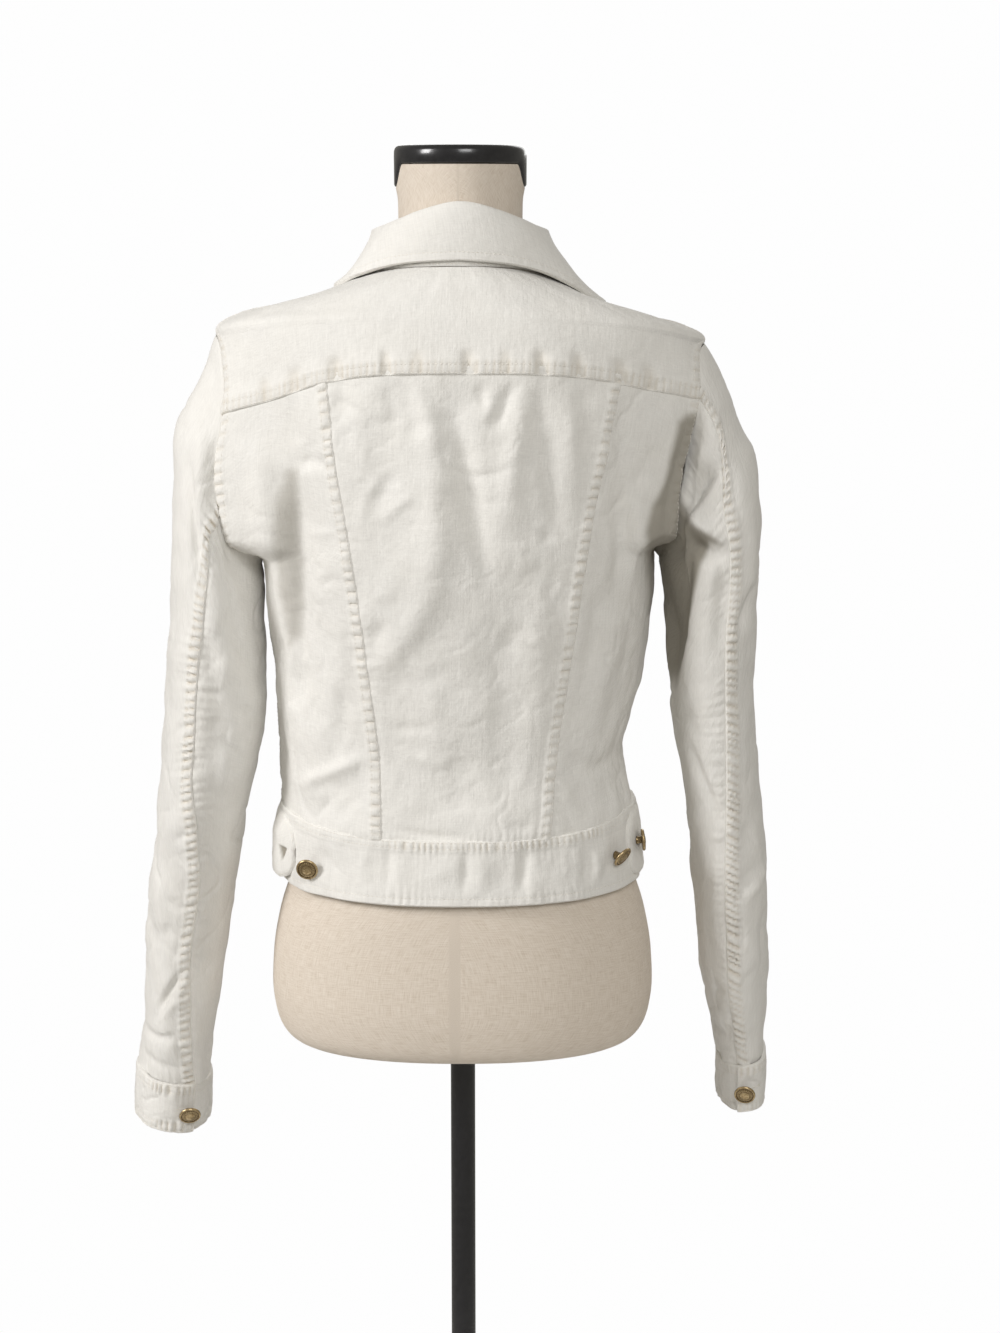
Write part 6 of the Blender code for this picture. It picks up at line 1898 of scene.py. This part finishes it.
def build_stand():
    crown = BASE_CROWN + HUB_HEIGHT
    rim = [(BASE_RADIUS - 0.0015, 0.0), (BASE_RADIUS - 0.0004, 0.0004), (BASE_RADIUS, 0.0014),
           (BASE_RADIUS, 0.0046), (BASE_RADIUS - 0.0008, 0.0064), (BASE_RADIUS - 0.0030, 0.0078)]  # fmt: skip
    dish = [(BASE_RADIUS - 0.003 - (BASE_RADIUS - 0.003 - HUB_RADIUS * 1.25) * s,
             BASE_EDGE + (BASE_CROWN - BASE_EDGE) * s**1.2) for s in np.linspace(0.04, 1, 14)]  # fmt: skip
    hub = [(HUB_RADIUS * 1.08, BASE_CROWN + 0.0012), (HUB_RADIUS, BASE_CROWN + 0.0045),
           (HUB_RADIUS, crown - 0.0045), (HUB_RADIUS - 0.0010, crown - 0.0018),
           (HUB_RADIUS - 0.0035, crown - 0.0003), (HUB_RADIUS - 0.008, crown)]  # fmt: skip
    lathe("enamel_base", rim + dish + hub, 128, "form_base")
    top = FORM_BOTTOM - SEAM_GAP
    start = crown + SEAM_GAP
    pole = [(POLE_RADIUS - 0.0006, start), (POLE_RADIUS, start + 0.0008)]
    pole += [(POLE_RADIUS, z) for z in np.linspace(start + 0.01, top - 0.01, 20)]
    pole += [(POLE_RADIUS, top - 0.0008), (POLE_RADIUS - 0.0006, top)]
    lathe("enamel_pole", pole, 64, "form_pole")


# ---------------------------------------------------------------- studio
FLOOR_RADIUS = 1.05
LIGHTS = (
    # name, place, height that it is aimed at over the middle, power, width, height and colour
    ("key", (-2.7, -1.25, 2.5), 1.15, 66.0, 0.9, 1.1, (1.0, 0.985, 0.985)),
    ("fill", (0.6, -2.9, 2.9), 1.15, 37.0, 1.2, 1.2, (1.0, 1.0, 1.0)),
    ("rear", (0.6, 2.8, 2.3), 1.10, 20.0, 2.0, 1.6, (1.0, 1.0, 1.0)),
)
CAMERA_TILT = math.radians(10.8)
CAMERA_X = 0.0298
CAMERA_AWAY = 1.95
CAMERA_Z = 1.47
SENSOR = 36.0
FOCAL_PIXELS = 2500
PHOTO_HEIGHT = 1333


def build_studio():
    ring = [(FLOOR_RADIUS * math.cos(t), FLOOR_RADIUS * math.sin(t), 0.0) for t in full_turn(96)]
    mesh = bpy.data.meshes.new("floor")
    mesh.from_pydata(ring, [], [tuple(range(96))])
    floor = bpy.data.objects.new("floor", mesh)
    bpy.context.scene.collection.objects.link(floor)
    plain = {"Roughness": 0.9, "Metallic": 0.0, "Base Color": (0.90, 0.90, 0.895, 1)}
    mesh.materials.append(new_material("floor_plain", plain)[0])
    world = bpy.data.worlds.new("studio")
    bpy.context.scene.world = world
    world.use_nodes = True
    tree = world.node_tree
    place = node(tree, "ShaderNodeTexCoord")
    split = node(tree, "ShaderNodeSeparateXYZ")
    tree.links.new(place.outputs["Generated"], split.inputs[0])
    blend = node(tree, "ShaderNodeMapRange", **{"From Min": -0.10, "From Max": 0.60})
    tree.links.new(split.outputs["Y"], blend.inputs["Value"])
    colour = mix(tree, blend.outputs["Result"], (0.33, 0.312, 0.28, 1), (0.27, 0.26, 0.235, 1))
    path = node(tree, "ShaderNodeLightPath")
    colour = mix(tree, path.outputs["Is Camera Ray"], colour, (0.99, 0.99, 0.99, 1))
    background = tree.nodes["Background"]
    tree.links.new(colour, background.inputs["Color"])
    background.inputs["Strength"].default_value = 1.0
    for name, place, aim_z, power, width, height, colour in LIGHTS:
        data = bpy.data.lights.new(name, "AREA")
        data.shape = "RECTANGLE"
        data.size, data.size_y = width, height
        data.energy = power
        data.color = colour
        lamp = bpy.data.objects.new(name, data)
        lamp.location = place
        aim = Vector((0.0, 0.0, aim_z)) - Vector(place)
        lamp.rotation_euler = aim.to_track_quat("-Z", "Y").to_euler()
        bpy.context.scene.collection.objects.link(lamp)
    camera = bpy.data.objects.new("camera", bpy.data.cameras.new("camera"))
    camera.location = (CAMERA_X, -CAMERA_AWAY * math.cos(CAMERA_TILT), CAMERA_Z)
    camera.rotation_euler = (math.pi / 2 - CAMERA_TILT, 0.0, 0.0)
    camera.data.lens = SENSOR * FOCAL_PIXELS / PHOTO_HEIGHT
    camera.data.sensor_width = SENSOR
    camera.data.clip_start = 0.05
    bpy.context.scene.collection.objects.link(camera)
    bpy.context.scene.camera = camera
    bpy.context.scene.view_settings.view_transform = "Standard"


build_back()
build_fronts()
build_waistband()
build_tabs()
build_sleeves()
build_cuffs()
build_collar()
build_buttons()
build_form()
build_stand()
build_studio()
